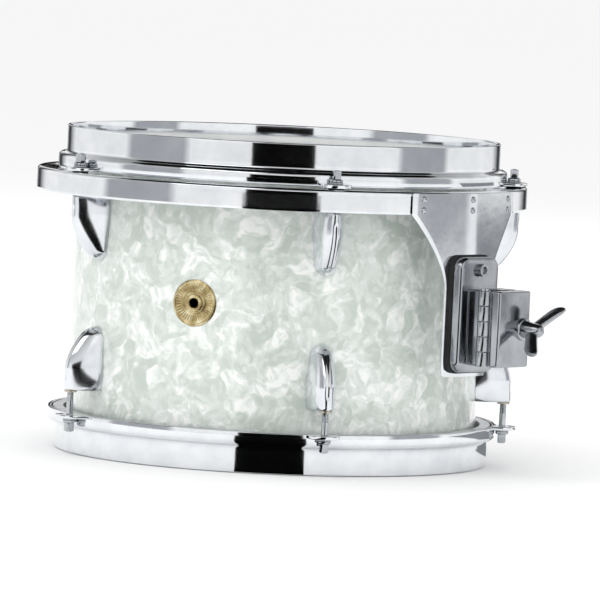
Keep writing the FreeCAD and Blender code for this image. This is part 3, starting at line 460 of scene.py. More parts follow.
def chrome_material(name, tints, rough, peel_mm=6.0, peel_depth=0.006 * MM):
    """Bright chrome: near-white metal, soft wipe marks in the gloss, faint orange peel."""
    return mottled(name, 28.0, 6.0, [(0.3, tints[0]), (0.7, tints[1])], rough, (peel_mm, peel_depth),
                   texture={"Roughness": 0.65}, Metallic=1.0, Roughness=rough[0])


def hoop_profile():
    """Outer face down the wall, round the step and skirt, and back up the inner face."""
    inner_bend, outer_bend = 2.5 * MM, 4.0 * MM
    mid_r = HOOP_WALL + inner_bend
    high, low = STEP_TOP + inner_bend, STEP_TOP - outer_bend
    top, soft = HOOP_HIGH, 0.9 * MM
    rows = [
        arc(HOOP_WALL - soft, top - soft, soft, 90, 0, 6),
        np.stack([np.full(6, HOOP_WALL), np.linspace(top - 2 * MM, high, 6)], axis=-1),
        arc(mid_r, high, inner_bend, 180, 270, 8),
        arc(mid_r, low, outer_bend, 90, 0, 10),
        arc(HOOP_SKIRT - soft, EAR_LOW + soft, soft, 0, -90, 5),
        arc(HOOP_SKIRT - HOOP_GAUGE + soft, EAR_LOW + soft, soft, -90, -180, 5),
        arc(mid_r, low, outer_bend - HOOP_GAUGE, 0, 90, 5),
        arc(mid_r, high, inner_bend + HOOP_GAUGE, 270, 180, 8),
        arc(HOOP_WALL - HOOP_GAUGE + soft, top - soft, soft, 180, 90, 6),
    ]
    return np.concatenate(rows)


def ear_block(angle):
    """Rounded tab round the rod hole: outline distance by direction, edges rounded."""
    t = np.linspace(0, 2 * np.pi, 72, endpoint=False)
    c, s = np.cos(t), np.sin(t)
    half = EAR_WIDTH / 2
    front = 1 / np.sqrt((c / EAR_REACH) ** 2 + (s / half) ** 2)
    root = ROD_CIRCLE - HOOP_SKIRT + EAR_ROOT
    sides = half / np.maximum(np.abs(s), 1e-6)
    back = root / np.maximum(-c, 1e-6)
    reach = np.where(c >= 0, front, np.minimum(sides, back))
    soft = 0.7 * MM
    bottom, top = EAR_LOW, EAR_LOW + HOOP_GAUGE
    turn = np.radians(np.linspace(0, 90, 5))
    hole = np.full_like(t, EAR_HOLE)
    loops = []
    for edge, sign, level, rise, angles in ((reach, -1, top - soft, 1, turn),
                                            (hole, 1, top - soft, 1, turn[::-1]),
                                            (hole, 1, bottom + soft, -1, turn),
                                            (reach, -1, bottom + soft, -1, turn[::-1])):
        for a in angles:
            r = edge + sign * soft * (1 - np.cos(a))
            z = np.full_like(t, level + rise * soft * np.sin(a))
            loops.append(np.stack([ROD_CIRCLE + r * c, r * s, z], axis=-1))
    points = np.array(loops)
    return turned(points, angle), grid_faces(len(loops), len(t), close_rows=True)


chrome = chrome_material("hoop_chrome_plate", ("#DDE0E4", "#F2F4F6"), (0.035, 0.09))
hoop_points, hoop_faces = lathe(hoop_profile(), 384)
ear_blocks = [ear_block(angle) for angle in ROD_ANGLES]
upper_blocks = [(hoop_points, hoop_faces)] + ear_blocks
lower_blocks = [(mirrored(points), faces) for points, faces in upper_blocks]
for name, blocks in (("batter_hoop", upper_blocks), ("resonant_hoop", lower_blocks)):
    hoop = make_piece(name + "_rolled", blocks, "drum", chrome, sharp=50)
    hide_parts(name)

# ---- Lugs -----------------------------------------------------------------------
# Die-cast zinc casings, chromed: a tapered body with a raised barrel over the
# swivel nut, screwed on from inside the shell.

LUG_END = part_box("batter_lug_1")[1][2]
LUG_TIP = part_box("batter_lug_1")[0][2]
LUG_LENGTH = LUG_END - LUG_TIP
LUG_HALF_WIDTH = 11.8 * MM
LUG_OVER_ROD = 5.5 * MM
LUG_TIP_RADIUS = 7.5 * MM
GROOVE_DEPTH, GROOVE_WIDTH, DIMPLE_RADIUS = 0.8 * MM, 1.2 * MM, 1.8 * MM
LUG_EDGE = 1.0 * MM
SHOULDER_AT, SLOPE_AT = 0.28, 0.34
GROOVE_FROM, GROOVE_TO, DIMPLE_AT = 0.16, 0.93, 0.9
STANDOFF = ROD_CIRCLE - SHELL_RADIUS


def lug_block():
    """Sections along the lug: u runs from the flat end to the tip, the section is a dome.

    The dome over half width w is crown * (1 - |y/w|^2)^(1/1.6).  Width and crown close
    as a quarter circle over the tip's radius.  A shallow groove with a dimple at its far
    end runs down the crown.  The places along u are shares of the lug's length: the sides
    draw in after SHOULDER_AT and the crown falls after SLOPE_AT.
    """
    u = np.concatenate([np.linspace(0, 0.8, 44), 1 - 0.2 * np.linspace(1, 0, 26)[1:] ** 2])
    narrowing = np.clip((u - SHOULDER_AT) / (1 - SHOULDER_AT), 0, 1) ** 1.8
    taper = 1 - 0.1 * np.clip(1 - u / SHOULDER_AT, 0, 1) ** 2 - 0.34 * narrowing
    start = 1 - LUG_TIP_RADIUS / LUG_LENGTH
    tip = np.sqrt(np.clip(1 - np.clip((u - start) / (1 - start), 0, 1) ** 2, 0.0004, 1))
    half = LUG_HALF_WIDTH * taper * tip
    fall = np.clip((u - SLOPE_AT) / (1 - SLOPE_AT), 0, 1) ** 1.7
    crown = (STANDOFF + LUG_OVER_ROD) * (1 - 0.7 * fall) * tip ** 0.8
    turn = np.linspace(0, np.pi, 61)
    y = half[:, None] * np.cos(turn)
    height = crown[:, None] * (1 - np.abs(np.cos(turn)) ** 2) ** (1 / 1.6)
    along = np.clip((u - GROOVE_FROM) / 0.06, 0, 1) * np.clip((GROOVE_TO - u) / 0.04, 0, 1)
    groove = GROOVE_DEPTH * along[:, None] * np.exp(-(y / GROOVE_WIDTH) ** 2)
    dimple = np.exp(-(y ** 2 + ((u[:, None] - DIMPLE_AT) * LUG_LENGTH) ** 2) / DIMPLE_RADIUS ** 2)
    height = np.maximum(height - groove - GROOVE_DEPTH * dimple, 0.0)
    height[:, [0, -1]] = 0.0
    seat = np.sqrt(SHELL_RADIUS ** 2 - y ** 2) + CURVE_GAP
    z = LUG_END - u * LUG_LENGTH
    top = np.stack([seat + height, y, z[:, None] + 0 * y], axis=-1)
    under = np.stack([seat, y, z[:, None] + 0 * y], axis=-1)[:, 1:-1][:, ::-1]
    loops = np.concatenate([top, under], axis=1)
    centre = loops[0].mean(axis=0)
    first = centre + (loops[0] - centre) * 0.94
    second = loops[0].copy()
    loops[0, :, 2] = LUG_END
    first[:, 2] = LUG_END
    second[:, 2] = LUG_END - LUG_EDGE
    between = first + (loops[0] - first) * 0.6
    rows = np.concatenate([first[None], between[None], second[None], loops[2:]])
    rows[1, :, 2] = LUG_END - LUG_EDGE * 0.25
    return rows, capped_faces(len(rows), rows.shape[1])


lug_chrome = chrome_material("lug_chrome_plate", ("#D6DADF", "#F0F2F5"), (0.08, 0.17), 4.0,
                             0.012 * MM)
lug_points, lug_faces = lug_block()
for number, angle in enumerate(ROD_ANGLES, start=1):
    for side, points in (("batter", lug_points), ("resonant", mirrored(lug_points))):
        lug = make_piece("%s_lug_%d_casting" % (side, number),
                         [(turned(points, angle), lug_faces)], "drum", lug_chrome, sharp=48)
        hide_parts("%s_lug_%d" % (side, number))

# Machined brass under thin nickel, finely mottled; zinc plate, cool grey and mottled.
raw_brass = mottled("nickelled_brass", 1.2, 3.0, [(0.3, "#B0A894"), (0.7, "#D2CDBF")], (0.22, 0.38),
                    Metallic=1.0, Roughness=0.28)
zinc = mottled("zinc_plated_steel", 2.0, 4.0, [(0.3, "#9A9EA3"), (0.7, "#C3C6CA")], (0.22, 0.42),
               Metallic=1.0, Roughness=0.3)
for name in ("batter_swivel_nuts", "resonant_swivel_nuts"):
    finish_cad(name, raw_brass)
for name in ("lug_screws", "lug_screw_washers", "bracket_nuts"):
    finish_cad(name, zinc)

# ---- Tension rods and washers -------------------------------------------------------
# Chromed steel rods, cut with a 1.06 mm thread, with a collar and a square head
# for a drum key; each bears on a plain washer on the hoop's ear.

ROD_RADIUS = 2.74 * MM
THREAD_PITCH = 1.058 * MM
THREAD_DEPTH = 0.32 * MM
THREAD_TOP = LUG_END + 9 * MM
ROD_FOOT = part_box("batter_rod_1")[0][2]
ROD_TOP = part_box("batter_rod_1")[1][2]
COLLAR_LOW = EAR_LOW + HOOP_GAUGE + 1.5 * MM
COLLAR_RADIUS = 5.2 * MM
COLLAR_HIGH = COLLAR_LOW + 2.5 * MM
HEAD_HALF = 3.175 * MM
ROD_WASHER_BORE, ROD_WASHER_RADIUS, ROD_WASHER_EDGE = 3.0 * MM, 5.4 * MM, 0.35 * MM


def rod_block():
    """Rings up the rod; the radius dips along a helix in the thread and squares at the head.

    A ring's outline is (|cos|^p + |sin|^p)^(-1/p) times its size: p = 2 is round and
    p = 9 nearly square.
    """
    thread = np.arange(ROD_FOOT, THREAD_TOP, THREAD_PITCH / 6)
    rings = [(z, ROD_RADIUS, 2.0, 1.0) for z in thread]
    rings += [(z, ROD_RADIUS, 2.0, 0.0) for z in (THREAD_TOP, COLLAR_LOW - 0.01 * MM)]
    rings += [(COLLAR_LOW, ROD_RADIUS, 2.0, 0.0), (COLLAR_LOW, COLLAR_RADIUS - 0.4 * MM, 2.0, 0.0),
              (COLLAR_LOW + 0.3 * MM, COLLAR_RADIUS, 2.0, 0.0),
              (COLLAR_HIGH - 1.1 * MM, COLLAR_RADIUS, 2.0, 0.0),
              (COLLAR_HIGH - 0.5 * MM, COLLAR_RADIUS - 0.3 * MM, 2.0, 0.0),
              (COLLAR_HIGH - 0.1 * MM, COLLAR_RADIUS - 1.1 * MM, 2.0, 0.0),
              (COLLAR_HIGH, HEAD_HALF + 0.6 * MM, 3.0, 0.0), (COLLAR_HIGH + 0.1 * MM, HEAD_HALF, 9.0, 0.0),
              (ROD_TOP - 1.2 * MM, HEAD_HALF, 9.0, 0.0), (ROD_TOP - 0.5 * MM, HEAD_HALF * 0.93, 6.0, 0.0),
              (ROD_TOP - 0.1 * MM, HEAD_HALF * 0.72, 3.0, 0.0), (ROD_TOP, HEAD_HALF * 0.4, 2.0, 0.0)]
    z, size, power, cut = (np.array(column)[:, None] for column in zip(*rings))
    t = np.linspace(0, 2 * np.pi, 32, endpoint=False)
    shape = (np.abs(np.cos(t)) ** power + np.abs(np.sin(t)) ** power) ** (-1 / power)
    phase = (z / THREAD_PITCH - t / (2 * np.pi)) % 1
    r = size * shape - cut * THREAD_DEPTH * np.abs(2 * phase - 1)
    points = np.stack([ROD_CIRCLE + r * np.cos(t), r * np.sin(t), z + 0 * t], axis=-1)
    return points, capped_faces(len(rings), len(t))


def ring_block(inner, outer, low, high, soft):
    """Flat washer with rounded edges round a rod's own line."""
    rows = np.concatenate([
        arc(outer - soft, high - soft, soft, 90, 0, 4), arc(outer - soft, low + soft, soft, 0, -90, 4),
        arc(inner + soft, low + soft, soft, -90, -180, 4), arc(inner + soft, high - soft, soft, 180, 90, 4)])
    points, faces = lathe(rows, 40)
    return points + np.array([ROD_CIRCLE, 0, 0]), faces


rod_chrome = chrome_material("rod_chrome_plate", ("#A5A9AE", "#C6CACE"), (0.06, 0.16), 3.0)
rod_points, rod_faces = rod_block()
washer_points, washer_faces = ring_block(ROD_WASHER_BORE, ROD_WASHER_RADIUS, EAR_LOW + HOOP_GAUGE,
                                         COLLAR_LOW, ROD_WASHER_EDGE)
for number, angle in enumerate(ROD_ANGLES, start=1):
    for side, points in (("batter", rod_points), ("resonant", mirrored(rod_points))):
        node_name = "%s_rod_%d" % (side, number)
        rod = make_piece(node_name + "_cut", [(turned(points, angle), rod_faces)], node_name,
                         rod_chrome, sharp=40)
        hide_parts(node_name)
for side, points in (("batter", washer_points), ("resonant", mirrored(washer_points))):
    blocks = [(turned(points, angle), washer_faces) for angle in ROD_ANGLES]
    washers = make_piece(side + "_rod_washers_pressed", blocks, "drum", zinc, sharp=50)
    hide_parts(side + "_rod_washers")

# ---- Suspension band, grommets, plate and rivets --------------------------------------
# Chromed steel angle rolled into a ring that hangs on the upper rods through
# rubber grommets, and a chromed plate riveted to its face to carry the bracket.

BAND_OUTSIDE = (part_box("suspension_band")[1][1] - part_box("suspension_band")[0][1]) / 2
BAND_LOW, BAND_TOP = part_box("suspension_band")[0][2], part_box("suspension_band")[1][2]
BAND_GAUGE = 2.0 * MM
BAND_FLANGE_INSIDE = ROD_CIRCLE - 6.6 * MM
PLATE_INSIDE = BAND_OUTSIDE + CURVE_GAP
PLATE_GAUGE = 2.0 * MM
PLATE_OUTSIDE = PLATE_INSIDE + PLATE_GAUGE
PLATE_LOW, PLATE_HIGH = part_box("mount_plate")[0][2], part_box("mount_plate")[1][2]
PLATE_TOP_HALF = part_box("mount_plate")[1][1]
PLATE_LOW_HALF = 27.0 * MM
PLATE_TAPER = 58.0 * MM
PLATE_CORNER, PLATE_EDGE = 3.0 * MM, 0.5 * MM
RIVET_RADIUS, RIVET_HEIGHT, RIVET_ROOT = 2.6 * MM, 1.2 * MM, 1.0 * MM
RIVET_HALF_PITCH = 4.25 * MM


def band_profile():
    """Wall and flange of the angle with a 2.6 mm outer bend and softened edges."""
    bend, soft = 2.6 * MM, 0.6 * MM
    inner = bend - BAND_GAUGE
    return np.concatenate([
        arc(BAND_OUTSIDE - bend, BAND_TOP - bend, bend, 90, 0, 8),
        np.stack([np.full(4, BAND_OUTSIDE), np.linspace(BAND_TOP - 5 * MM, BAND_LOW + 2 * MM, 4)], axis=-1),
        arc(BAND_OUTSIDE - soft, BAND_LOW + soft, soft, 0, -90, 4),
        arc(BAND_OUTSIDE - BAND_GAUGE + soft, BAND_LOW + soft, soft, -90, -180, 4),
        arc(BAND_OUTSIDE - bend, BAND_TOP - bend, inner, 0, 90, 4),
        arc(BAND_FLANGE_INSIDE + soft, BAND_TOP - BAND_GAUGE + soft, soft, -90, -180, 4),
        arc(BAND_FLANGE_INSIDE + soft, BAND_TOP - soft, soft, 180, 90, 4)])


def plate_block():
    """Rows down the plate: half width is wide at the band and narrows on a hollow curve."""
    turn = np.linspace(0, np.pi / 2, 6)[1:]
    body = np.concatenate([np.linspace(PLATE_HIGH - 1.2 * MM, BAND_LOW, 8),
                           np.linspace(BAND_LOW, BAND_LOW - PLATE_TAPER, 40)[1:],
                           np.linspace(BAND_LOW - PLATE_TAPER, PLATE_LOW + PLATE_CORNER, 16)[1:]])
    fall = np.clip((BAND_LOW - body) / PLATE_TAPER, 0, 1)
    half = PLATE_LOW_HALF + (PLATE_TOP_HALF - PLATE_LOW_HALF) * (1 - fall) ** 1.55
    foot_z = PLATE_LOW + PLATE_CORNER - PLATE_CORNER * np.sin(turn)
    foot_half = PLATE_LOW_HALF - PLATE_CORNER * (1 - np.cos(turn))
    head_z, head_half = [PLATE_HIGH, PLATE_HIGH - 0.35 * MM], [half[0] - 1.2 * MM, half[0] - 0.35 * MM]
    z = np.concatenate([head_z, body, foot_z])
    half = np.concatenate([head_half, half, foot_half])
    out_y = half[:, None] * np.linspace(-1, 1, 48)
    past = np.clip((np.abs(out_y) - (half[:, None] - PLATE_EDGE)) / PLATE_EDGE, 0, 1)
    bevel = np.sqrt(np.clip(1 - past ** 2, 0.02, 1))
    middle = (PLATE_OUTSIDE + PLATE_INSIDE) / 2
    angle = out_y / middle
    half_gauge = PLATE_GAUGE / 2 * (1 - (1 - bevel) * 0.5)
    outer, inner = (np.stack([r * np.cos(angle), r * np.sin(angle), z[:, None] + 0 * angle], axis=-1)
                    for r in (middle + half_gauge, middle - half_gauge))
    loops = np.concatenate([outer, inner[:, ::-1]], axis=1)
    return loops, capped_faces(len(z), loops.shape[1])


def rivet_block(angle, z):
    """Low domed rivet head on the plate's face."""
    dome = arc(0, 0, 1, 0, 86) * [RIVET_RADIUS, RIVET_HEIGHT]
    profile = np.concatenate([[[RIVET_RADIUS, -RIVET_ROOT]], dome])
    points, faces = spindle(profile, (PLATE_OUTSIDE, 0, z), 24)
    return turned(points, angle), faces


band = make_piece("suspension_band_rolled", [lathe(band_profile(), 384)], "drum", chrome, sharp=50)
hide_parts("suspension_band")
plate_chrome = chrome_material("plate_chrome", ("#D9DDE1", "#F1F3F5"), (0.05, 0.13), 9.0,
                               0.02 * MM)
plate = make_piece("mount_plate_pressed", [plate_block()], "drum", plate_chrome, sharp=50)
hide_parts("mount_plate")
rivet_middle = (BAND_TOP + BAND_LOW) / 2 - BAND_GAUGE / 2
rivet_places = [(a, rivet_middle + dz * RIVET_HALF_PITCH) for a in (-15, 0, 15) for dz in (-1, 1)]
rivets = make_piece("plate_rivets_domed", [rivet_block(a, z) for a, z in rivet_places], "drum",
                    rod_chrome)
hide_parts("plate_rivets")
# Black moulded rubber: matt, a little dusty, with a fine moulded grain.
rubber = mottled("moulded_black_rubber", 9.0, 5.0, [(0.35, "#121314"), (0.7, "#232426")], (0.6, 0.82),
                 (0.6, 0.03 * MM), Roughness=0.7, Specular_IOR_Level=0.4)
finish_cad("band_grommets", rubber)

# ---- Bracket: gasket, base and screws -------------------------------------------------
# A black rubber gasket under a chromed zinc casting with a rounded flange, and
# half a clamp block for the stand's upright rod.

FLANGE_HALF_WIDTH = 23.5 * MM
FLANGE_HALF_HEIGHT = 45.5 * MM
FLANGE_CORNER = 9.0 * MM
FLANGE_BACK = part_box("bracket_base")[0][0]
FLANGE_FRONT = FLANGE_BACK + 8.0 * MM
GASKET_BORDER = 1.2 * MM
GASKET_BACK = FLANGE_BACK - 3.0 * MM
CLAMP_LOW, CLAMP_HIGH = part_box("clamp_jaw")[0][2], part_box("clamp_jaw")[1][2]
CLAMP_MIDDLE = (CLAMP_LOW + CLAMP_HIGH) / 2
CLAMP_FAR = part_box("clamp_jaw")[1][1]
JAW_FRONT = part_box("clamp_jaw")[1][0]
L_ROD_X = FLANGE_FRONT + 18.0 * MM
L_ROD_BORE = 6.45 * MM
KNUCKLE_RADIUS = 5.0 * MM
HINGE_Y = -(L_ROD_BORE + 4.0 * MM + KNUCKLE_RADIUS)
CLAMP_HALF_GAP = 1.2 * MM
CLAMP_EDGE = 1.8 * MM
LEAF_ROOT = KNUCKLE_RADIUS * 0.35
BARREL_COUNT = 5
BARREL_GAP = 0.3 * MM


def rounded_outline(half_a, half_b, corner, count=10):
    """Rectangle with round corners as a closed run of points, anticlockwise."""
    a, b = half_a - corner, half_b - corner
    return np.concatenate([arc(a, b, corner, 0, 90, count), arc(-a, b, corner, 90, 180, count),
                           arc(-a, -b, corner, 180, 270, count), arc(a, -b, corner, 270, 360, count)])


def inset(outline, distance):
    """Outline moved inwards along its own normals (anticlockwise outline)."""
    ahead, behind = np.roll(outline, -1, 0), np.roll(outline, 1, 0)
    along = ahead - behind
    along = along / np.maximum(np.linalg.norm(along, axis=1, keepdims=True), 1e-12)
    normal = np.stack([-along[:, 1], along[:, 0]], axis=-1)
    return outline + normal * distance


def slab(outline, low, high, soft_low, soft_high, order):
    """Outline carried from low to high with rounded edges; order places the three axes."""
    turn = np.radians(np.linspace(0, 90, 6))
    rows = [(soft_low * (1 - math.cos(a)), low + soft_low * (1 - math.sin(a))) for a in turn[::-1]]
    rows += [(soft_high * (1 - math.cos(a)), high - soft_high * (1 - math.sin(a))) for a in turn]
    loops = []
    for step, level in rows:
        ring = inset(outline, step) if step > 0 else outline
        loops.append(np.column_stack([ring, np.full(len(ring), level)]))
    points = np.array(loops)[..., list(order)]
    return points, capped_faces(len(rows), len(outline))


def flange_block():
    """Cast pad: y-z outline carried along x, its front edge broadly rounded."""
    shape = rounded_outline(FLANGE_HALF_WIDTH, FLANGE_HALF_HEIGHT, FLANGE_CORNER)
    shape = shape + np.array([0, MIDDLE])
    return slab(shape, FLANGE_BACK, FLANGE_FRONT, 0.4 * MM, 3.2 * MM, (2, 0, 1))


def gasket_block():
    """Rubber pad a little larger than the casting; its back follows the plate's curve."""
    shape = rounded_outline(FLANGE_HALF_WIDTH + GASKET_BORDER, FLANGE_HALF_HEIGHT + GASKET_BORDER,
                            FLANGE_CORNER + GASKET_BORDER)
    shape = shape + np.array([0, MIDDLE])
    points, faces = slab(shape, GASKET_BACK, FLANGE_BACK, 0.3 * MM, 0.9 * MM, (2, 0, 1))
    seat = np.sqrt((PLATE_OUTSIDE + CURVE_GAP) ** 2 - points[..., 1] ** 2)
    share = (points[..., 0] - GASKET_BACK) / (FLANGE_BACK - GASKET_BACK)
    points[..., 0] = seat + (FLANGE_BACK - seat) * share
    return points, faces


def barrel_block(number):
    """One hinge barrel round the pin."""
    pitch = (CLAMP_HIGH - CLAMP_LOW) / BARREL_COUNT
    low = CLAMP_LOW + number * pitch + BARREL_GAP / 2
    high = low + pitch - BARREL_GAP
    ring = arc(L_ROD_X, HINGE_Y, KNUCKLE_RADIUS, 0, 360, 41)[:-1]
    return slab(ring, low, high, 0.5 * MM, 0.5 * MM, (0, 1, 2))


def leaf_outline(x_split, x_far, reach_in):
    """Top view of one half of the clamp: a block with half the rod's bore cut out.

    The bore is the arc of the L-rod circle on this side of the split.
    """
    side = 1 if x_far > x_split else -1
    offset = abs(x_split - L_ROD_X)
    start = math.degrees(math.asin(offset / L_ROD_BORE))
    bore = arc(0, 0, L_ROD_BORE, -90 + start, 90 - start, 24)
    bore = bore * np.array([side, 1]) + np.array([L_ROD_X, 0])
    soft = 2.6 * MM
    inner_y = HINGE_Y + reach_in
    pivot = x_far - side * soft
    far = np.concatenate([arc(pivot, inner_y + soft, soft, -90, 0, 7),
                          arc(pivot, CLAMP_FAR - soft, soft, 0, 90, 7)])
    far[:, 0] = pivot + side * (far[:, 0] - pivot)
    loop = np.concatenate([[[x_split, inner_y]], far, [[x_split, CLAMP_FAR]], bore[::-1]])
    return loop if side > 0 else loop[::-1]


# Chrome for the bracket, jaw, wing screw and washer in much darker tints than the hoops' chrome: painted
# shade, standing in for the darker reflections on these parts.
shade_darkened_chrome = chrome_material("chrome_darkened_as_shade", ("#94979B", "#B8BBBF"), (0.08, 0.22),
                                 2.5, 0.02 * MM)
gasket = make_piece("bracket_gasket_moulded", [gasket_block()], "drum", rubber)
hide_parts("bracket_gasket")
split_in = L_ROD_X - CLAMP_HALF_GAP
base_leaf = leaf_outline(split_in, FLANGE_FRONT - 1.0 * MM, LEAF_ROOT)
base_blocks = [flange_block(), slab(base_leaf, CLAMP_LOW, CLAMP_HIGH, CLAMP_EDGE, CLAMP_EDGE, (0, 1, 2))]
base_blocks += [barrel_block(number) for number in (0, 2, 4)]
base = make_piece("bracket_base_casting", base_blocks, "drum", shade_darkened_chrome, sharp=40)
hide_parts("bracket_base")
finish_cad("bracket_screws", zinc)

# ---- Clamp jaw and hinge pin -------------------------------------------------------
# The outer half of the clamp, cast and chromed, which swings on a steel pin.

split_out = L_ROD_X + CLAMP_HALF_GAP
jaw_leaf = leaf_outline(split_out, JAW_FRONT, LEAF_ROOT)
jaw_blocks = [slab(jaw_leaf, CLAMP_LOW, CLAMP_HIGH, CLAMP_EDGE, CLAMP_EDGE, (0, 1, 2))]
jaw_blocks += [barrel_block(number) for number in (1, 3)]
jaw = make_piece("clamp_jaw_casting", jaw_blocks, "clamp_jaw", shade_darkened_chrome, sharp=40)
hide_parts("clamp_jaw")
finish_cad("hinge_pin", rod_chrome)

# ---- Wing screw and washer ---------------------------------------------------------
# Die-cast wings on a steel screw that draws the jaw in over a cupped washer.

WING_Y = (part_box("wing_washer")[0][1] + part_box("wing_washer")[1][1]) / 2
WASHER_RADIUS = (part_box("wing_washer")[1][2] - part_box("wing_washer")[0][2]) / 2
WING_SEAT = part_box("wing_washer")[1][0]
HUB_LENGTH = 17.0 * MM
HUB_RADIUS = 7.0 * MM
WING_REACH = 26.5 * MM
WING_TILT = -45.0
WING_ROOT, WING_SWEEP = 8.0 * MM, 13.5 * MM
WING_INSET = 2.0 * MM
SHANK_RADIUS = 4.0 * MM
NOSE_LENGTH = 5.0 * MM
CUP_DEPTH, CUP_EDGE, CUP_BORE, CUP_BORE_EDGE = 3.0 * MM, 1.4 * MM, 4.1 * MM, 0.4 * MM
SCREW_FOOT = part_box("wing_screw")[0][0]


def hub_block():
    """Waisted hub with a rounded nose on a plain shank."""
    rows = [[SHANK_RADIUS, SCREW_FOOT - WING_SEAT], [SHANK_RADIUS, 0], [HUB_RADIUS - 0.6 * MM, 0],
            [HUB_RADIUS, 0.6 * MM], [HUB_RADIUS * 0.97, 4 * MM], [HUB_RADIUS * 0.84, 8 * MM],
            [HUB_RADIUS * 0.78, 12 * MM]]
    nose = arc(0, 0, HUB_RADIUS * 0.76, 5, 85) * [1, 0.94] + [0, HUB_LENGTH - NOSE_LENGTH]
    return spindle(np.concatenate([rows, nose]), (WING_SEAT, WING_Y, CLAMP_MIDDLE), 48)


def wing_block(way):
    """One wing: a paddle outline in the plane of the screw, rounded through its thickness.

    s runs from the hub to the tip and v round the section, which is a flattened oval.
    """
    s = np.linspace(0, 1, 40)[:, None]
    v = np.linspace(0, 2 * np.pi, 32, endpoint=False)[None, :]
    centre_x = WING_ROOT + WING_SWEEP * s ** 1.15
    centre_z = WING_INSET + (WING_REACH - WING_INSET) * s
    wide = (5.2 + 1.8 * s) * MM
    wide = wide * np.sqrt(np.clip(1 - np.clip((s - 0.72) / 0.28, 0, 1) ** 2, 0, 1))
    thick = (2.8 - 0.9 * s) * MM
    thick = thick * np.sqrt(np.clip(1 - np.clip((s - 0.9) / 0.1, 0, 1) ** 2, 0.001, 1))
    x = centre_x + wide * np.cos(v)
    y = thick * np.sign(np.sin(v)) * np.abs(np.sin(v)) ** 0.7
    z = centre_z + 0 * v
    turn = math.radians(WING_TILT)
    c, n = math.cos(turn), math.sin(turn)
    y, z = y * way, z * way
    points = np.stack([WING_SEAT + x, WING_Y + y * c - z * n, CLAMP_MIDDLE + y * n + z * c], axis=-1)
    return points, capped_faces(len(points), points.shape[1])


def washer_block():
    """Cupped washer round the screw."""
    rows = np.concatenate([
        [[WASHER_RADIUS, -CUP_DEPTH]], arc(WASHER_RADIUS - CUP_EDGE, -CUP_EDGE, CUP_EDGE, 0, 90, 6),
        arc(CUP_BORE + CUP_BORE_EDGE, -CUP_BORE_EDGE, CUP_BORE_EDGE, 90, 180, 4),
        [[CUP_BORE, -CUP_DEPTH]]])
    return spindle(rows, (WING_SEAT, WING_Y, CLAMP_MIDDLE), 64, closed=True)


wing = make_piece("wing_screw_casting", [hub_block(), wing_block(1), wing_block(-1)], "wing_screw",
                  shade_darkened_chrome, sharp=45)
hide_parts("wing_screw")
cup = make_piece("wing_washer_cupped", [washer_block()], "wing_washer", shade_darkened_chrome, sharp=45)
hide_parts("wing_washer")

# ---- Studio -----------------------------------------------------------------------
# Pale floor, white surround, soft lights, and dark flags that only show as the
# dark bars in the chrome.

VIEW_AZIMUTH = 41.0
VIEW_ELEVATION = 3.8
VIEW_DISTANCE = 5.2
VIEW_ROLL = 2.7
LENS_MM = 386.0
AIM_RIGHT, AIM_DOWN = 18.7 * MM, 4.0 * MM
DRUM_MIDDLE = Vector((0, 0, MIDDLE))
FLOOR_HALF, CEILING_HALF = 30.0, 1.9
RUNNER_LIFT = 0.0004


def stage_material(name, code):
    """Matt painted surface or cloth."""
    return finish_of(name, Roughness=0.9, Specular_IOR_Level=0.0, Base_Color=linear(code))[0]


def stage_face(name, corners, material):
    """One flat face that belongs to the stage."""
    mesh = bpy.data.meshes.new(name)
    mesh.from_pydata(corners, [], [(0, 1, 2, 3)])
    mesh.uv_layers.new(name="UVMap").data.foreach_set("uv", [0, 0, 1, 0, 1, 1, 0, 1])
    mesh.materials.append(material)
    made = bpy.data.objects.new(name, mesh)
    bpy.context.collection.objects.link(made)
    return made


def stage_sheet(name, centre, across, up_half, wide, material):
    """Rectangle round a centre, spanned by two half vectors."""
    a, b, c = np.array(across) * wide, np.array(up_half), np.array(centre)
    return stage_face(name, [tuple(p) for p in (c - a - b, c + a - b, c + a + b, c - a + b)], material)


def reflected_only(piece):
    """Takes a stage object out of the camera's view, so that only the gloss sees it."""
    piece.visible_camera = False
    piece.visible_shadow = False
    piece.visible_diffuse = False


def soft_card(name, code, fade):
    """Card that is dark across its middle and fades to white at both sides."""
    made, tree, shader = finish_of(name, Roughness=1.0, Specular_IOR_Level=0.0)
    place = node(tree, "ShaderNodeTexCoord").outputs["UV"]
    across = node(tree, "ShaderNodeSeparateXYZ", {"Vector": place})
    tree.links.new(ramp(tree, across.outputs["X"], [
        (0.0, "#F4F4F4"), (fade, code), (1 - fade, code), (1.0, "#F4F4F4")]),
        shader.inputs["Base Color"])
    return made


def runner(name, azimuth, length, half_angle, material):
    """Cloth on the floor before the drum, seen in the chrome only.

    Its sides are the rays that a round wall sends off at twice its own angle, so the
    dark bar in the hoops keeps straight sides down to the floor.
    """
    turn = math.radians(half_angle)
    foot = HOOP_WALL * np.array([math.sin(turn), math.cos(turn)])
    tip = foot + length * np.array([math.sin(2 * turn), math.cos(2 * turn)])
    a = math.radians(azimuth)
    corners = []
    for side, ahead in ((-foot[0], foot[1]), (foot[0], foot[1]), (tip[0], tip[1]), (-tip[0], tip[1])):
        corners.append((side * math.cos(a) + ahead * math.sin(a),
                        side * math.sin(a) - ahead * math.cos(a), RUNNER_LIFT))
    reflected_only(stage_face(name, corners, material))


def toward(azimuth, elevation, distance):
    """Point at a distance from the drum's middle in a view direction."""
    a, e = math.radians(azimuth), math.radians(elevation)
    way = np.array([math.sin(a) * math.cos(e), -math.cos(a) * math.cos(e), math.sin(e)])
    return way * distance + np.array(DRUM_MIDDLE)


def flag(name, azimuth, elevation, distance, half_width, half_height, material):
    """Card that faces the drum and shows in reflections only."""
    a = math.radians(azimuth)
    centre = toward(azimuth, elevation, distance)
    across = (math.cos(a), math.sin(a), 0)
    reflected_only(stage_sheet(name, centre, across, (0, 0, half_height), half_width, material))


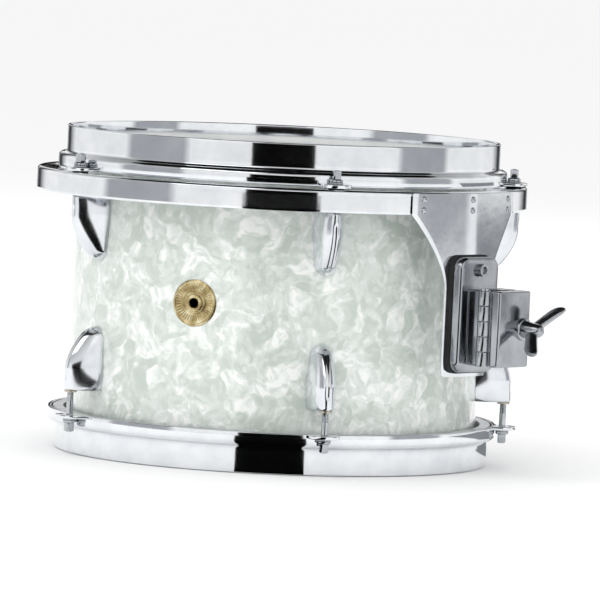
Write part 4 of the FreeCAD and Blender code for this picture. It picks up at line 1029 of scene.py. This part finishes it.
def lamp(name, azimuth, elevation, distance, size, watts):
    """Soft square light aimed at the drum."""
    data = bpy.data.lights.new(name, "AREA")
    data.size = size
    data.energy = watts
    made = bpy.data.objects.new(name, data)
    made.location = toward(azimuth, elevation, distance)
    away = made.location - DRUM_MIDDLE
    made.rotation_euler = away.to_track_quat("Z", "Y").to_euler()
    bpy.context.collection.objects.link(made)


floor_white = stage_material("studio_floor_paint", "#FCFCFC")
flag_black = stage_material("flag_black_cloth", "#050505")
runner_grey = stage_material("runner_grey_cloth", "#8A8C90")
flag_grey = soft_card("flag_grey_card", "#A6A7AB", 0.12)
flag_soft = soft_card("flag_soft_card", "#3C3E42", 0.42)
stage_sheet("studio_floor", (0, 0, HOOP_LOW - 0.0005), (1, 0, 0), (0, FLOOR_HALF, 0), FLOOR_HALF,
            floor_white)
flag("flag_front", VIEW_AZIMUTH, 0.0, 4.2, 1.22, 0.62, flag_black)
runner("flag_runner", VIEW_AZIMUTH, 4.2, 9.0, flag_black)
flag("flag_left", VIEW_AZIMUTH - 69, 0.0, 3.0, 1.15, 1.4, flag_grey)
flag("flag_right", VIEW_AZIMUTH + 78, 0.0, 3.0, 0.95, 1.4, flag_grey)
runner("flag_runner_right", VIEW_AZIMUTH + 118, 4.2, 9.0, runner_grey)
flag("flag_behind_left", VIEW_AZIMUTH - 158, 0.0, 3.2, 0.85, 1.4, flag_soft)
flag("flag_behind_right", VIEW_AZIMUTH + 158, 0.0, 3.2, 0.85, 1.4, flag_soft)
flag("flag_horizon", VIEW_AZIMUTH + 180, 4.0, 3.1, 0.8, 0.1, flag_black)
ceiling = stage_sheet("flag_ceiling", (0, 0, 2.3), (1, 0, 0), (0, CEILING_HALF, 0), CEILING_HALF,
                      flag_black)
reflected_only(ceiling)
lamp("key_light", VIEW_AZIMUTH - 35, 48, 3.2, 2.2, 22)
lamp("fill_light", VIEW_AZIMUTH + 40, 35, 3.6, 2.6, 6)
lamp("back_light", VIEW_AZIMUTH + 180, 40, 3.4, 2.4, 12)

world = bpy.data.worlds.new("white_surround")
bpy.context.scene.world = world
world.use_nodes = True
surround = world.node_tree.nodes["Background"]
surround.inputs["Color"].default_value = linear("#FFFFFF")
path = node(world.node_tree, "ShaderNodeLightPath")
seen = node(world.node_tree, "ShaderNodeMath", {0: path.outputs["Is Camera Ray"],
                                                1: path.outputs["Is Glossy Ray"]}, operation="MAXIMUM")
strength = spread(world.node_tree, seen.outputs["Value"], 0.95, 1.02)
way = node(world.node_tree, "ShaderNodeTexCoord").outputs["Generated"]
rise = node(world.node_tree, "ShaderNodeSeparateXYZ", {"Vector": way})
dome = node(world.node_tree, "ShaderNodeMapRange", {"Value": rise.outputs["Z"]})
for socket, value in (("From Min", 0.12), ("From Max", 0.7), ("To Min", 1.0), ("To Max", 0.35)):
    dome.inputs[socket].default_value = value
mirror = node(world.node_tree, "ShaderNodeMix", {"Factor": path.outputs["Is Glossy Ray"],
                                                 "B": dome.outputs["Result"]},
              data_type="FLOAT", A=1.0)
graded = node(world.node_tree, "ShaderNodeMath", {0: strength, 1: mirror.outputs["Result"]},
              operation="MULTIPLY")
world.node_tree.links.new(graded.outputs["Value"], surround.inputs["Strength"])
bpy.context.scene.view_settings.view_transform = "Standard"

camera_data = bpy.data.cameras.new("view_camera")
camera_data.lens = LENS_MM
camera_data.sensor_width = 36.0
camera_data.clip_end = 200.0
camera = bpy.data.objects.new("view_camera", camera_data)
bpy.context.collection.objects.link(camera)
eye = Vector(toward(VIEW_AZIMUTH, VIEW_ELEVATION, VIEW_DISTANCE))
level = Vector((math.cos(math.radians(VIEW_AZIMUTH)), math.sin(math.radians(VIEW_AZIMUTH)), 0))
aim = DRUM_MIDDLE + level * AIM_RIGHT - Vector((0, 0, 1)) * AIM_DOWN
turn = (eye - aim).to_track_quat("Z", "Y").to_matrix().to_4x4()
camera.matrix_world = Matrix.Translation(eye) @ turn @ Matrix.Rotation(math.radians(VIEW_ROLL), 4, "Z")
bpy.context.scene.camera = camera
